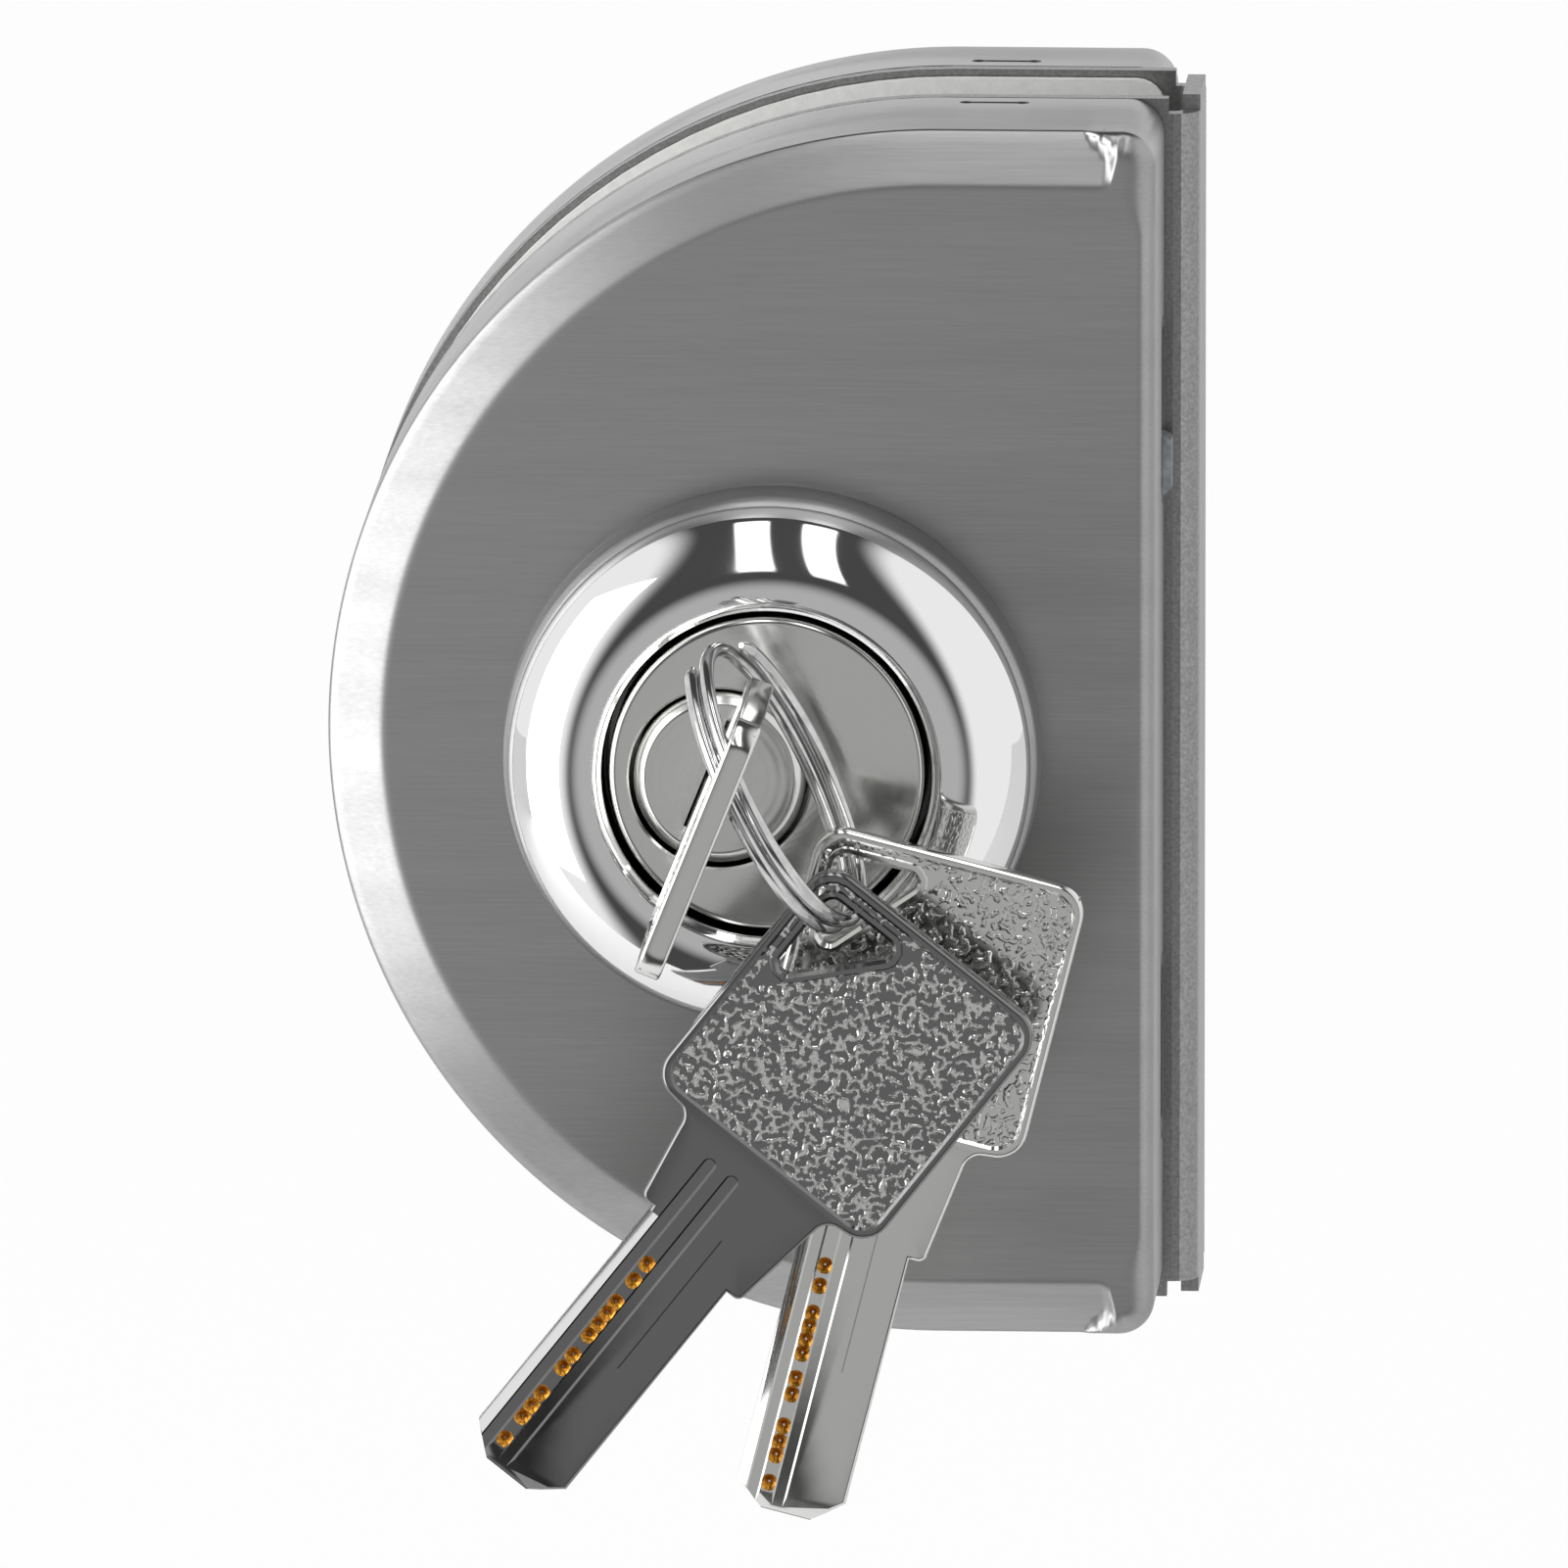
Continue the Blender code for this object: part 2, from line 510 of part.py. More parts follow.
def add_plug(brass_chrome):
    """The plug with its keyway, and the tail that drives the pinion."""
    radius = PLUG_RADIUS
    profile = [(0, PLUG_BACK_Y), (radius, PLUG_BACK_Y), (radius, CYLINDER_Y + 0.75 * MM),
               (radius - PLUG_BEVEL, CYLINDER_Y), (0, CYLINDER_Y)]
    plug = turned("cylinder_plug", profile, (PLUG_X, PLUG_Z), 48, brass_chrome)
    lean = Matrix.Rotation(KEY_LEAN, 4, "Y")
    half = TAIL_SQUARE / 2
    pinion_back = WORK_Y + PINION_THICK / 2
    tail = block("tail_square", (-half, PLUG_BACK_Y - SHEET, -half), (half, pinion_back, half))
    tail.matrix_world = Matrix.Translation((PLUG_X, 0, PLUG_Z)) @ lean
    boolean(plug, tail, "UNION")
    boolean(plug, disc("tail_round", (PLUG_X, PLUG_Z), TAIL_ROUND, PLUG_BACK_Y - SHEET,
                       pinion_back + 1.5 * MM, steps=24), "UNION")
    wide = BLADE_WIDTH / 2 + SEAT
    thick = KEY_THICK / 2 + SEAT
    keyway = block("keyway", (-thick, CYLINDER_Y - SHEET, -wide), (thick, KEY_TIP_Y + SEAT, wide))
    keyway.matrix_world = Matrix.Translation((PLUG_X, 0, PLUG_Z)) @ lean
    boolean(plug, keyway)


def tooth_half_angle(radius):
    """Half of a gear tooth's angle at a radius, for an involute flank."""
    base = PITCH_RADIUS * math.cos(PRESSURE)
    turn = math.acos(min(1.0, base / radius)) if radius > base else 0.0
    swing = math.tan(PRESSURE) - PRESSURE - (math.tan(turn) - turn)
    return math.pi / 2 / GEAR_TEETH + swing - TOOTH_THIN / radius


def gear_points(centre, first_angle, count):
    """Outline of some teeth, counter-clockwise from the tooth at first_angle."""
    radii = [PITCH_RADIUS - TOOTH_ROOT, PITCH_RADIUS * 0.95, PITCH_RADIUS, PITCH_RADIUS + TOOTH_TIP]
    pitch = math.tau / GEAR_TEETH
    points = []
    for tooth in range(count):
        middle = first_angle + pitch * tooth
        for radius in radii:
            angle = middle - tooth_half_angle(max(radius, PITCH_RADIUS * 0.94))
            points.append((centre[0] + radius * math.cos(angle), centre[1] + radius * math.sin(angle)))
        for radius in reversed(radii):
            angle = middle + tooth_half_angle(max(radius, PITCH_RADIUS * 0.94))
            points.append((centre[0] + radius * math.cos(angle), centre[1] + radius * math.sin(angle)))
    return points


def rack_points(pitch_x, way, z_first, count):
    """Outline of rack teeth that point to way (1 right, -1 left), upwards from z_first."""
    pitch = math.pi * MODULE
    slope = math.tan(PRESSURE)
    points = []
    for tooth in range(count):
        middle = z_first + tooth * pitch
        for step, side in ((-TOOTH_ROOT, -1), (TOOTH_TIP, -1), (TOOTH_TIP, 1), (-TOOTH_ROOT, 1)):
            half = pitch / 4 - TOOTH_THIN - slope * step
            points.append((pitch_x + way * step, middle + side * half))
    return points


def add_pinion(steel, spring_steel):
    """The pinion on the plug's tail and the clip that keeps it there."""
    centre = (PLUG_X, PLUG_Z)
    front = WORK_Y - PINION_THICK / 2
    back = WORK_Y + PINION_THICK / 2 - SEAT
    pinion = prism("drive_pinion", gear_points(centre, math.pi / GEAR_TEETH, GEAR_TEETH), front,
                   back, steel)
    half = TAIL_SQUARE / 2 + SEAT
    socket = block("pinion_square", (-half, front - SHEET, -half), (half, back + SHEET, half))
    socket.matrix_world = Matrix.Translation((PLUG_X, 0, PLUG_Z)) @ Matrix.Rotation(KEY_LEAN, 4, "Y")
    boolean(pinion, socket)
    inner = TAIL_ROUND + SEAT
    gap = math.radians(40)
    outline = arc(centre, inner + 1.3 * MM, gap, math.tau - gap, 20)
    outline += arc(centre, inner, math.tau - gap, gap, 20)
    clip_front = WORK_Y + PINION_THICK / 2 + SEAT
    prism("pinion_clip", outline, clip_front, clip_front + 0.6 * MM, spring_steel)


def add_slide(steel, zinc):
    """The toothed slide between pinion and hook, and its two guide rivets."""
    pitch = math.pi * MODULE
    left_x = PLUG_X + PITCH_RADIUS
    right_x = HOOK_X - PITCH_RADIUS
    left = rack_points(left_x, -1, PLUG_Z - pitch, 6)
    right = rack_points(right_x, 1, HOOK_Z - pitch, 6)
    bottom = left[0][1] - 1.5 * MM
    top = right[-1][1] + 0.3 * MM
    left_edge = left_x + TOOTH_ROOT
    right_edge = right_x - TOOTH_ROOT
    waist = SLIDE_WAIST
    outline = [(left_edge + waist * 2, bottom), (left_edge + waist * 3, bottom + waist)]
    outline += [(left_edge + waist * 3, right[0][1] - 2 * waist), (right_edge, right[0][1] - waist)]
    outline += right
    outline += [(right_edge, top), (right_edge - 2 * waist, top)]
    outline += [(left_edge + waist, right[0][1] + waist), (left_edge + waist, left[-1][1] + waist)]
    outline += [(left_edge, left[-1][1] + SHEET)]
    outline += left[::-1]
    outline += [(left_edge, bottom)]
    front = WORK_Y - SLIDE_THICK / 2
    back = WORK_Y + SLIDE_THICK / 2
    slide = prism("rack_slide", outline, front, back, steel)
    rivet_x = left_edge + waist * 1.9
    spots = (("lower", PLUG_Z - 0.4 * pitch), ("upper", HOOK_Z - 2.2 * pitch))
    for name, z in spots:
        radius = RIVET_RADIUS + SEAT
        slot = arc((rivet_x, z), radius, math.pi, math.tau, 10)
        slot += arc((rivet_x, z + TRAVEL), radius, 0, math.pi, 10)
        boolean(slide, prism(f"guide_slot_{name}", slot, front - SHEET, back + SHEET))
        seat = FRONT_PLATE_Y - SHEET - SEAT
        collar = back + SEAT
        head = front - SEAT
        profile = [(0, seat), (RIVET_HEAD, seat), (RIVET_HEAD, collar), (RIVET_RADIUS, collar),
                   (RIVET_RADIUS, head), (RIVET_HEAD, head), (RIVET_HEAD, head - RIVET_HEAD_THICK),
                   (0, head - RIVET_HEAD_THICK)]
        turned(f"slide_rivet_{name}", profile, (rivet_x, z), 24, zinc)


def add_hook(steel, zinc):
    """The swinging hook bolt, drawn as it hangs when open, with its gear teeth and pivot."""
    tip_z = HOOK_Z - HOOK_LENGTH
    beak_x = HOOK_X + HOOK_SETBACK + HOOK_PROUD
    back_x = HOOK_X - HOOK_ARM
    throat_x = HOOK_X + 0.6 * MM
    corners = [(back_x, tip_z + 1.4 * MM), (back_x + 1.8 * MM, tip_z), (beak_x - 1.5 * MM, tip_z),
               (beak_x, tip_z + 1.2 * MM), (beak_x, tip_z + BEAK_WIDTH - 0.6 * MM),
               (beak_x - 1.2 * MM, tip_z + BEAK_WIDTH), (throat_x + 0.8 * MM, tip_z + BEAK_WIDTH),
               (throat_x, tip_z + BEAK_WIDTH + 0.8 * MM), (throat_x, HOOK_Z), (back_x, HOOK_Z)]
    front = WORK_Y - HOOK_THICK / 2
    back = WORK_Y + HOOK_THICK / 2
    hook = prism("hook_bolt", corners, front, back, steel)
    centre = (HOOK_X, HOOK_Z)
    pitch = math.tau / GEAR_TEETH
    sector = [centre] + gear_points(centre, math.pi - 3.5 * pitch, 5)
    boolean(hook, prism("hook_sector", sector, front, back), "UNION")
    boolean(hook, disc("hook_boss", centre, HOOK_BOSS, front, back, steps=32), "UNION")
    boolean(hook, disc("hook_bore", centre, PIVOT_RADIUS + SEAT, front - SHEET, back + SHEET, steps=24))
    seat = FRONT_PLATE_Y - SHEET - SEAT
    head = front - SEAT
    collar = back + SEAT
    profile = [(0, seat), (RIVET_HEAD, seat), (RIVET_HEAD, collar), (PIVOT_RADIUS, collar),
               (PIVOT_RADIUS, head), (RIVET_HEAD, head), (RIVET_HEAD, head - RIVET_HEAD_THICK),
               (0, head - RIVET_HEAD_THICK)]
    turned("hook_pivot", profile, centre, 24, zinc)


def key_outline():
    """Key seen flat: x across, z along, end of the head at z = 0, tip at negative z."""
    head = HEAD_WIDTH / 2
    neck = NECK_WIDTH / 2
    blade = BLADE_WIDTH / 2
    shoulder = -HEAD_LENGTH - NECK_LENGTH
    tip = shoulder - BLADE_LENGTH
    points = arc((head - HEAD_CORNER, -HEAD_CORNER), HEAD_CORNER, 0, math.pi / 2, 5)
    points += arc((HEAD_CORNER - head, -HEAD_CORNER), HEAD_CORNER, math.pi / 2, math.pi, 5)
    points += arc((HEAD_CORNER - head, HEAD_CORNER - HEAD_LENGTH), HEAD_CORNER, math.pi,
                  math.pi * 1.42, 4)
    points += arc((-neck - NECK_FILLET, -HEAD_LENGTH - NECK_FILLET), NECK_FILLET, math.pi * 0.42, 0, 3)
    points += [(-neck, shoulder + 0.9 * MM), (-neck + 0.5 * MM, shoulder), (-blade, shoulder)]
    points += [(-blade, tip + BLADE_TIP), (-blade * 0.45, tip), (blade * 0.45, tip)]
    lower = shoulder - SHOULDER_STEP
    points += [(blade, tip + BLADE_TIP), (blade, lower), (neck - 0.5 * MM, lower)]
    points += [(neck, lower + 0.9 * MM)]
    points += arc((neck + NECK_FILLET, -HEAD_LENGTH - NECK_FILLET), NECK_FILLET, math.pi, math.pi * 0.58, 3)
    points += arc((head - HEAD_CORNER, HEAD_CORNER - HEAD_LENGTH), HEAD_CORNER, math.pi * 1.58,
                  math.tau, 4)
    return points


def hole_corners(inset=0.0):
    """The three-cornered ring hole near the head's upper left corner."""
    x = -HEAD_WIDTH / 2 + HOLE_MARGIN - inset
    z = -HOLE_MARGIN + inset
    far = inset * (1 + math.sqrt(2))
    return [(x, z), (x, z - HOLE_LONG - inset - far), (x + HOLE_SHORT + inset + far, z)]


def add_key(name, placement, steel):
    """One key, made flat and then put in its place."""
    half = KEY_THICK / 2
    key = prism(name, key_outline(), -half, half, steel)
    rim = HEAD_RIM
    head = HEAD_WIDTH / 2 - rim
    panel = rounded([(-head, -rim), (-head, -HEAD_LENGTH + rim), (head, -HEAD_LENGTH + rim),
                     (head, -rim)], HEAD_CORNER - rim)
    hole = rounded(hole_corners(), HOLE_CORNER, 3)
    collar = rounded(hole_corners(0.75 * MM), HOLE_CORNER + 0.7 * MM, 3)
    for side, face in (("front", -half), ("back", half)):
        way = 1 if face > 0 else -1
        low = face - way * PANEL_DEPTH
        cutter = prism(f"{name}_panel_{side}", panel, low, face + way * MM)
        ring = prism(f"{name}_collar_{side}", collar, low - way * MM, face + way * 2 * MM)
        boolean(cutter, ring)
        boolean(key, cutter)
        start = -HEAD_LENGTH - NECK_LENGTH + GROOVE_START
        end = -HEAD_LENGTH - NECK_LENGTH - BLADE_LENGTH - MM
        for number, offset in enumerate(GROOVE_OFFSETS):
            middle = offset * -way
            groove = arc((middle, start), GROOVE_WIDTH / 2, 0, math.pi, 5)
            groove += [(middle - GROOVE_WIDTH / 2, end), (middle + GROOVE_WIDTH / 2, end)]
            boolean(key, prism(f"{name}_groove_{side}_{number}", groove, face - way * GROOVE_DEPTH,
                               face + way * MM))
    boolean(key, prism(f"{name}_hole", hole, -half - MM, half + MM))
    cutters = [modifier.object for modifier in key.modifiers]
    nested = [modifier.object for cutter in cutters for modifier in cutter.modifiers]
    for item in [key] + cutters + nested:
        item.matrix_world = placement @ item.matrix_world
    return key


def hole_point(across, along):
    """A point in a key's ring hole, measured from the hole's corner, in the key's own frame."""
    return Vector((-HEAD_WIDTH / 2 + HOLE_MARGIN + across, 0, -HOLE_MARGIN - along))


def ring_frame():
    """Centre and axes of the split ring: down its long way, and towards the viewer."""
    down = Vector((math.sin(RING_LEAN), 0.0, -math.cos(RING_LEAN)))
    near = Vector((-0.2, -0.95, 0.1))
    near = (near - down * near.dot(down)).normalized()
    return down, near


def ring_point(centre, angle):
    """Point on the ring's middle line; angle 0 is its lowest point, 90 degrees its nearest."""
    down, near = ring_frame()
    return centre + (down * math.cos(angle) + near * math.sin(angle)) * RING_RADIUS


def add_ring_and_keys(steel):
    """The key in the plug, the split ring through its hole and the two keys on the ring."""
    lean = Matrix.Rotation(KEY_LEAN, 4, "Y")
    lay_in = Matrix(((0, 1, 0, 0), (0, 0, -1, 0), (-1, 0, 0, 0), (0, 0, 0, 1)))
    home = Matrix.Translation((PLUG_X, KEY_END_Y, PLUG_Z)) @ lean @ lay_in
    add_key("key_in_lock", home, steel)
    crossing = home @ hole_point(*RING_SPOT)
    down, near = ring_frame()
    to_key = down * math.cos(RING_IN_KEY) + near * math.sin(RING_IN_KEY)
    centre = crossing - to_key * RING_RADIUS
    for name, angle, swing, hanging in LOOSE_KEYS:
        spot = ring_point(centre, angle)
        turn = Matrix.Rotation(swing, 4, "Y")
        place = Matrix.Translation(spot) @ turn @ Matrix.Translation(-hole_point(*hanging))
        add_key(name, place, steel)
    side = down.cross(near)
    curve = bpy.data.curves.new("split_ring", "CURVE")
    curve.dimensions = "3D"
    curve.bevel_depth = WIRE / 2
    curve.bevel_resolution = 2
    curve.use_fill_caps = True
    steps = round(RING_STEPS * RING_TURNS)
    spline = curve.splines.new("POLY")
    spline.points.add(steps)
    for i, point in enumerate(spline.points):
        angle = RING_BEGIN + math.tau * i / RING_STEPS
        along = RING_PITCH * (i / RING_STEPS - RING_TURNS / 2)
        point.co = (*(ring_point(centre, angle) + side * along), 1)
    ring = bpy.data.objects.new("split_ring", curve)
    curve.materials.append(steel)
    bpy.data.collections["glass_door_lock"].objects.link(ring)


def build():
    """Clear the scene and model the whole lock."""
    for item in list(bpy.data.objects):
        bpy.data.objects.remove(item)
    for name in ("glass_door_lock", "cutters"):
        collection = bpy.data.collections.new(name)
        bpy.context.scene.collection.children.link(collection)
    brushed = new_material("brushed_steel", (0.45, 0.45, 0.45), 0.35, 1.0)
    chrome = new_material("bright_chrome", (0.85, 0.85, 0.85), 0.06, 1.0)
    nickel = new_material("nickel_plate", (0.62, 0.62, 0.61), 0.2, 1.0)
    plain = new_material("plain_steel", (0.5, 0.5, 0.5), 0.4, 1.0)
    spring = new_material("spring_steel", (0.35, 0.35, 0.36), 0.35, 1.0)
    zinc = new_material("zinc_plate", (0.6, 0.61, 0.62), 0.35, 1.0)
    rubber = new_material("clear_rubber", (0.32, 0.32, 0.31), 0.6, 0.0)
    add_covers(brushed)
    add_clamp_frame(brushed)
    add_clamp_screws(zinc)
    add_gaskets(rubber)
    add_clips(spring)
    add_rose(brushed, chrome)
    add_cylinder(nickel, plain)
    add_plug(nickel)
    add_pinion(plain, spring)
    add_slide(plain, zinc)
    add_hook(plain, zinc)
    add_ring_and_keys(nickel)


build()
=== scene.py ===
# %% [markdown]
# # A sliding glass door lock in a light tent
#
# The construction comes in as a fixed frame: every node is a solid at its real size, in
# metres, with X to the door's edge, Y into the door and Z up. This script gives it its looks:
# satin steel, bright chrome, nickel keys with pebbled heads, and a tent of soft light.

# %% Load the frame
import json
import math

import bmesh
import bpy
from mathutils import Matrix, Vector, noise


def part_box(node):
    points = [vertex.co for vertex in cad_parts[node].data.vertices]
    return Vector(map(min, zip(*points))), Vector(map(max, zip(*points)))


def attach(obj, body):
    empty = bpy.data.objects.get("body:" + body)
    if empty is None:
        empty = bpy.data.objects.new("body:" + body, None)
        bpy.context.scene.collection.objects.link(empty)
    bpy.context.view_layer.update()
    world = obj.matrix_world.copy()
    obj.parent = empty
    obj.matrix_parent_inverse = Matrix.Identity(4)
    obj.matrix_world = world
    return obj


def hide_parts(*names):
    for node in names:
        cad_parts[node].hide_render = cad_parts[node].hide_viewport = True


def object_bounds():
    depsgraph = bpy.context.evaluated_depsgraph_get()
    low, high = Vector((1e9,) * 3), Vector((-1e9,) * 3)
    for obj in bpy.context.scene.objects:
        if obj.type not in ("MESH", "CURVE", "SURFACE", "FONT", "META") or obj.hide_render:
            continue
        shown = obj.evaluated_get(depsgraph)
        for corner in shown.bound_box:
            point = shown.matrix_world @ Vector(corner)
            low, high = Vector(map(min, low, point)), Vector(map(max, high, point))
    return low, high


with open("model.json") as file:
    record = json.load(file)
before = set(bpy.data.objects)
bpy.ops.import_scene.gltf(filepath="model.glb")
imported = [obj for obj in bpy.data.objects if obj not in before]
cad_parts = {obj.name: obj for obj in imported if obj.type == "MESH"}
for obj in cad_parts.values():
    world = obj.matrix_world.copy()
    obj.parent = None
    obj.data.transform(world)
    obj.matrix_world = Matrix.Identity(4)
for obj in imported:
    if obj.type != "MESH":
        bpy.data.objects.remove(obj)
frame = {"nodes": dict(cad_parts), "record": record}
CAD_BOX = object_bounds()
MM = 0.001
cad_size = [round((high - low) / MM, 1) for low, high in zip(*CAD_BOX)]
print("CAD box in mm:", cad_size, "nodes:", len(frame["nodes"]))

# %% [markdown]
# ## Places that the looks share with the construction
#
# A node's box gives its place, so the detailed pieces land where the solids are. The rose and
# the plug turn about axes along Y, and their middles come straight from their boxes. The ring
# and the keys hang at their joints, whose places are in the frame's record.

# %% Read places from the frame
def middle(node):
    """Centre of a node's box."""
    low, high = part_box(node)
    return (Vector(low) + Vector(high)) / 2


rose = middle("rose_dome")
plug = middle("cylinder_plug")
joint_at = {joint["child"]: Vector(joint["pos_m"])
            for joint in frame["record"]["behaviour"]["joints"] if "pos_m" in joint}
print("rose axis in mm:", [round(value / MM, 2) for value in (rose.x, rose.z)])
print("ring passes the key in the lock at mm:", [round(v / MM, 1) for v in joint_at["ring"]])

# %% [markdown]
# ## The camera
#
# A long lens looks down on the lock by a little over ten degrees, from three degrees to the
# right. The photograph shows 12 pixels to the millimetre, which sets the width of the frame.

# %% Camera
PHOTO_PIXELS = 1601
PIXELS_PER_MM = 12.08
AZIMUTH = math.radians(3.0)
ELEVATION = math.radians(10.3)
DISTANCE = 4.0
SENSOR = 36.0
AIM = Vector((-13.0, -19.8, -4.6)) * MM

view_width = PHOTO_PIXELS / PIXELS_PER_MM * MM
back = Vector((math.sin(AZIMUTH) * math.cos(ELEVATION),
               -math.cos(AZIMUTH) * math.cos(ELEVATION), math.sin(ELEVATION)))
lens = bpy.data.cameras.new("long_lens")
lens.sensor_width = SENSOR
lens.lens = SENSOR * DISTANCE / view_width
lens.clip_start = 0.1
camera = bpy.data.objects.new("camera", lens)
bpy.context.scene.collection.objects.link(camera)
camera.location = AIM + back * DISTANCE
camera.rotation_euler = back.to_track_quat("Z", "Y").to_euler()
bpy.context.scene.camera = camera
bpy.context.scene.view_settings.view_transform = "Standard"
print("focal length in mm:", round(lens.lens), "view width in mm:", round(view_width / MM, 1))

# %% [markdown]
# ## Helpers for materials
#
# Colours are written as sRGB hex and made linear in one place. One small function adds a node,
# sets its values and links what it is given. Each pattern works in the piece's own metres, so
# a scale of 2000 puts the pattern's grains half a millimetre apart.

# %% Colour and node helpers
def colour(text):
    """Linear RGBA from an sRGB hex colour."""
    channels = [int(text[i:i + 2], 16) / 255 for i in (1, 3, 5)]
    linear = [c / 12.92 if c <= 0.04045 else ((c + 0.055) / 1.055) ** 2.4 for c in channels]
    return (*linear, 1.0)


def add(tree, kind, inputs=None, **settings):
    """Add a node; an input is a plain value, another node or one of its outputs."""
    made = tree.nodes.new(kind)
    for name, value in settings.items():
        setattr(made, name, value)
    for name, value in (inputs or {}).items():
        if isinstance(value, bpy.types.Node):
            value = next(socket for socket in value.outputs if socket.enabled)
        if isinstance(value, bpy.types.NodeSocket):
            tree.links.new(value, made.inputs[name])
        else:
            made.inputs[name].default_value = value
    return made


def start_material(name, base):
    """An empty material with its plain colour for the viewport, and its node tree."""
    material = bpy.data.materials.new(name)
    material.use_nodes = True
    material.node_tree.nodes.clear()
    material.diffuse_color = colour(base)
    return material, material.node_tree


def per_mm(spacing):
    """Noise scale that puts the grains a number of millimetres apart."""
    return 1.0 / (spacing * MM)


# %% [markdown]
# ## Satin stainless steel
#
# The covers and the collar are pressed from stainless steel and brushed along X. The scratches
# are several millimetres long and a fifth of a millimetre apart, so the noise is stretched by
# that much. Real scratches are finer, and these are as coarse as they need to be to show.
# Their colour and roughness differ a little, which gives the eye faint horizontal lines and
# spreads each light into a soft band across them. Brushed steel has a roughness of about a
# third.

# %% Brushed stainless steel
def brushed_stainless(name, base, dark, roughness, spread, scratch_depth):
    """Stainless steel brushed along X."""
    material, tree = start_material(name, base)
    place = add(tree, "ShaderNodeTexCoord").outputs["Object"]
    fine = (per_mm(9.0), per_mm(0.2), per_mm(0.2))
    broad = (per_mm(40.0), per_mm(6.0), per_mm(3.0))
    along = add(tree, "ShaderNodeMapping", {"Vector": place, "Scale": fine})
    scratch = add(tree, "ShaderNodeTexNoise",
                  {"Vector": along, "Scale": 1.0, "Detail": 3.0, "Roughness": 0.6})
    wide = add(tree, "ShaderNodeMapping", {"Vector": place, "Scale": broad})
    cloud = add(tree, "ShaderNodeTexNoise", {"Vector": wide, "Scale": 1.0, "Detail": 2.0})
    mixed = add(tree, "ShaderNodeMix", {"Factor": 0.4, "A": scratch, "B": cloud})
    factor = add(tree, "ShaderNodeMapRange", {"Value": mixed, "From Min": 0.3, "From Max": 0.7})
    tone = add(tree, "ShaderNodeMix", {"Factor": factor, "A": colour(dark), "B": colour(base)},
               data_type="RGBA")
    rough = add(tree, "ShaderNodeMapRange",
                {"Value": mixed, "From Min": 0.3, "From Max": 0.7, "To Min": roughness + spread,
                 "To Max": roughness - spread})
    bump = add(tree, "ShaderNodeBump", {"Height": scratch, "Distance": scratch_depth})
    shader = add(tree, "ShaderNodeBsdfPrincipled",
                 {"Base Color": tone, "Metallic": 1.0, "Roughness": rough, "Anisotropic": 0.4,
                  "Normal": bump})
    add(tree, "ShaderNodeOutputMaterial", {"Surface": shader})
    return material


satin = brushed_stainless("satin_stainless_steel", "#a8a8a8", "#9a9a9a", 0.32, 0.03, 0.002 * MM)
print("brushed:", satin.name)

# %% [markdown]
# ## Plain steels
#
# The folded clamp frame is cold-rolled stainless sheet with tooling marks. The bolt work is
# ground steel, the screws and rivets have bright zinc plating, and the clips and the wire are
# spring steel. All have a fine even grain that makes their edges sparkle a little.

# %% Grained metals
def grained_metal(name, base, dark, roughness, spacing, depth):
    """Metal with a fine even grain."""
    material, tree = start_material(name, base)
    place = add(tree, "ShaderNodeTexCoord").outputs["Object"]
    grain = add(tree, "ShaderNodeTexNoise",
                {"Vector": place, "Scale": per_mm(spacing), "Detail": 4.0, "Roughness": 0.6})
    factor = add(tree, "ShaderNodeMapRange", {"Value": grain, "From Min": 0.35, "From Max": 0.65})
    tone = add(tree, "ShaderNodeMix", {"Factor": factor, "A": colour(dark), "B": colour(base)},
               data_type="RGBA")
    rough = add(tree, "ShaderNodeMapRange",
                {"Value": grain, "From Min": 0.3, "From Max": 0.7, "To Min": roughness + 0.06,
                 "To Max": roughness - 0.04})
    bump = add(tree, "ShaderNodeBump", {"Height": grain, "Distance": depth})
    shader = add(tree, "ShaderNodeBsdfPrincipled",
                 {"Base Color": tone, "Metallic": 1.0, "Roughness": rough, "Normal": bump})
    add(tree, "ShaderNodeOutputMaterial", {"Surface": shader})
    return material


rolled = grained_metal("rolled_stainless_steel", "#a0a0a0", "#888888", 0.36, 0.3, 0.008 * MM)
ground = grained_metal("ground_steel", "#c0c0c2", "#8c8c90", 0.28, 0.6, 0.015 * MM)
zinc = grained_metal("bright_zinc_plate", "#c4c8cc", "#9fa4a9", 0.28, 1.0, 0.01 * MM)
sprung = grained_metal("spring_steel", "#a8a8aa", "#808084", 0.3, 1.0, 0.01 * MM)
wire = grained_metal("polished_steel_wire", "#cfcfcf", "#bdbdbd", 0.12, 1.4, 0.004 * MM)
brass = grained_metal("cut_brass", "#e0a040", "#8a5a1c", 0.25, 0.3, 0.03 * MM)
print("grained:", [material.name for material in (rolled, ground, zinc, sprung, wire, brass)])

# %% [markdown]
# ## Bright platings
#
# The dome is bright chrome plate: a mirror with only the faintest waviness. The keys are nickel
# plated, a little warmer and softer. Where the panels of their heads are pebbled, the mesh
# itself has the bumps, and a finer noise adds the small ones. The front key's flats mirror the
# dark front of the room in the photograph, so their plating is drawn darker.

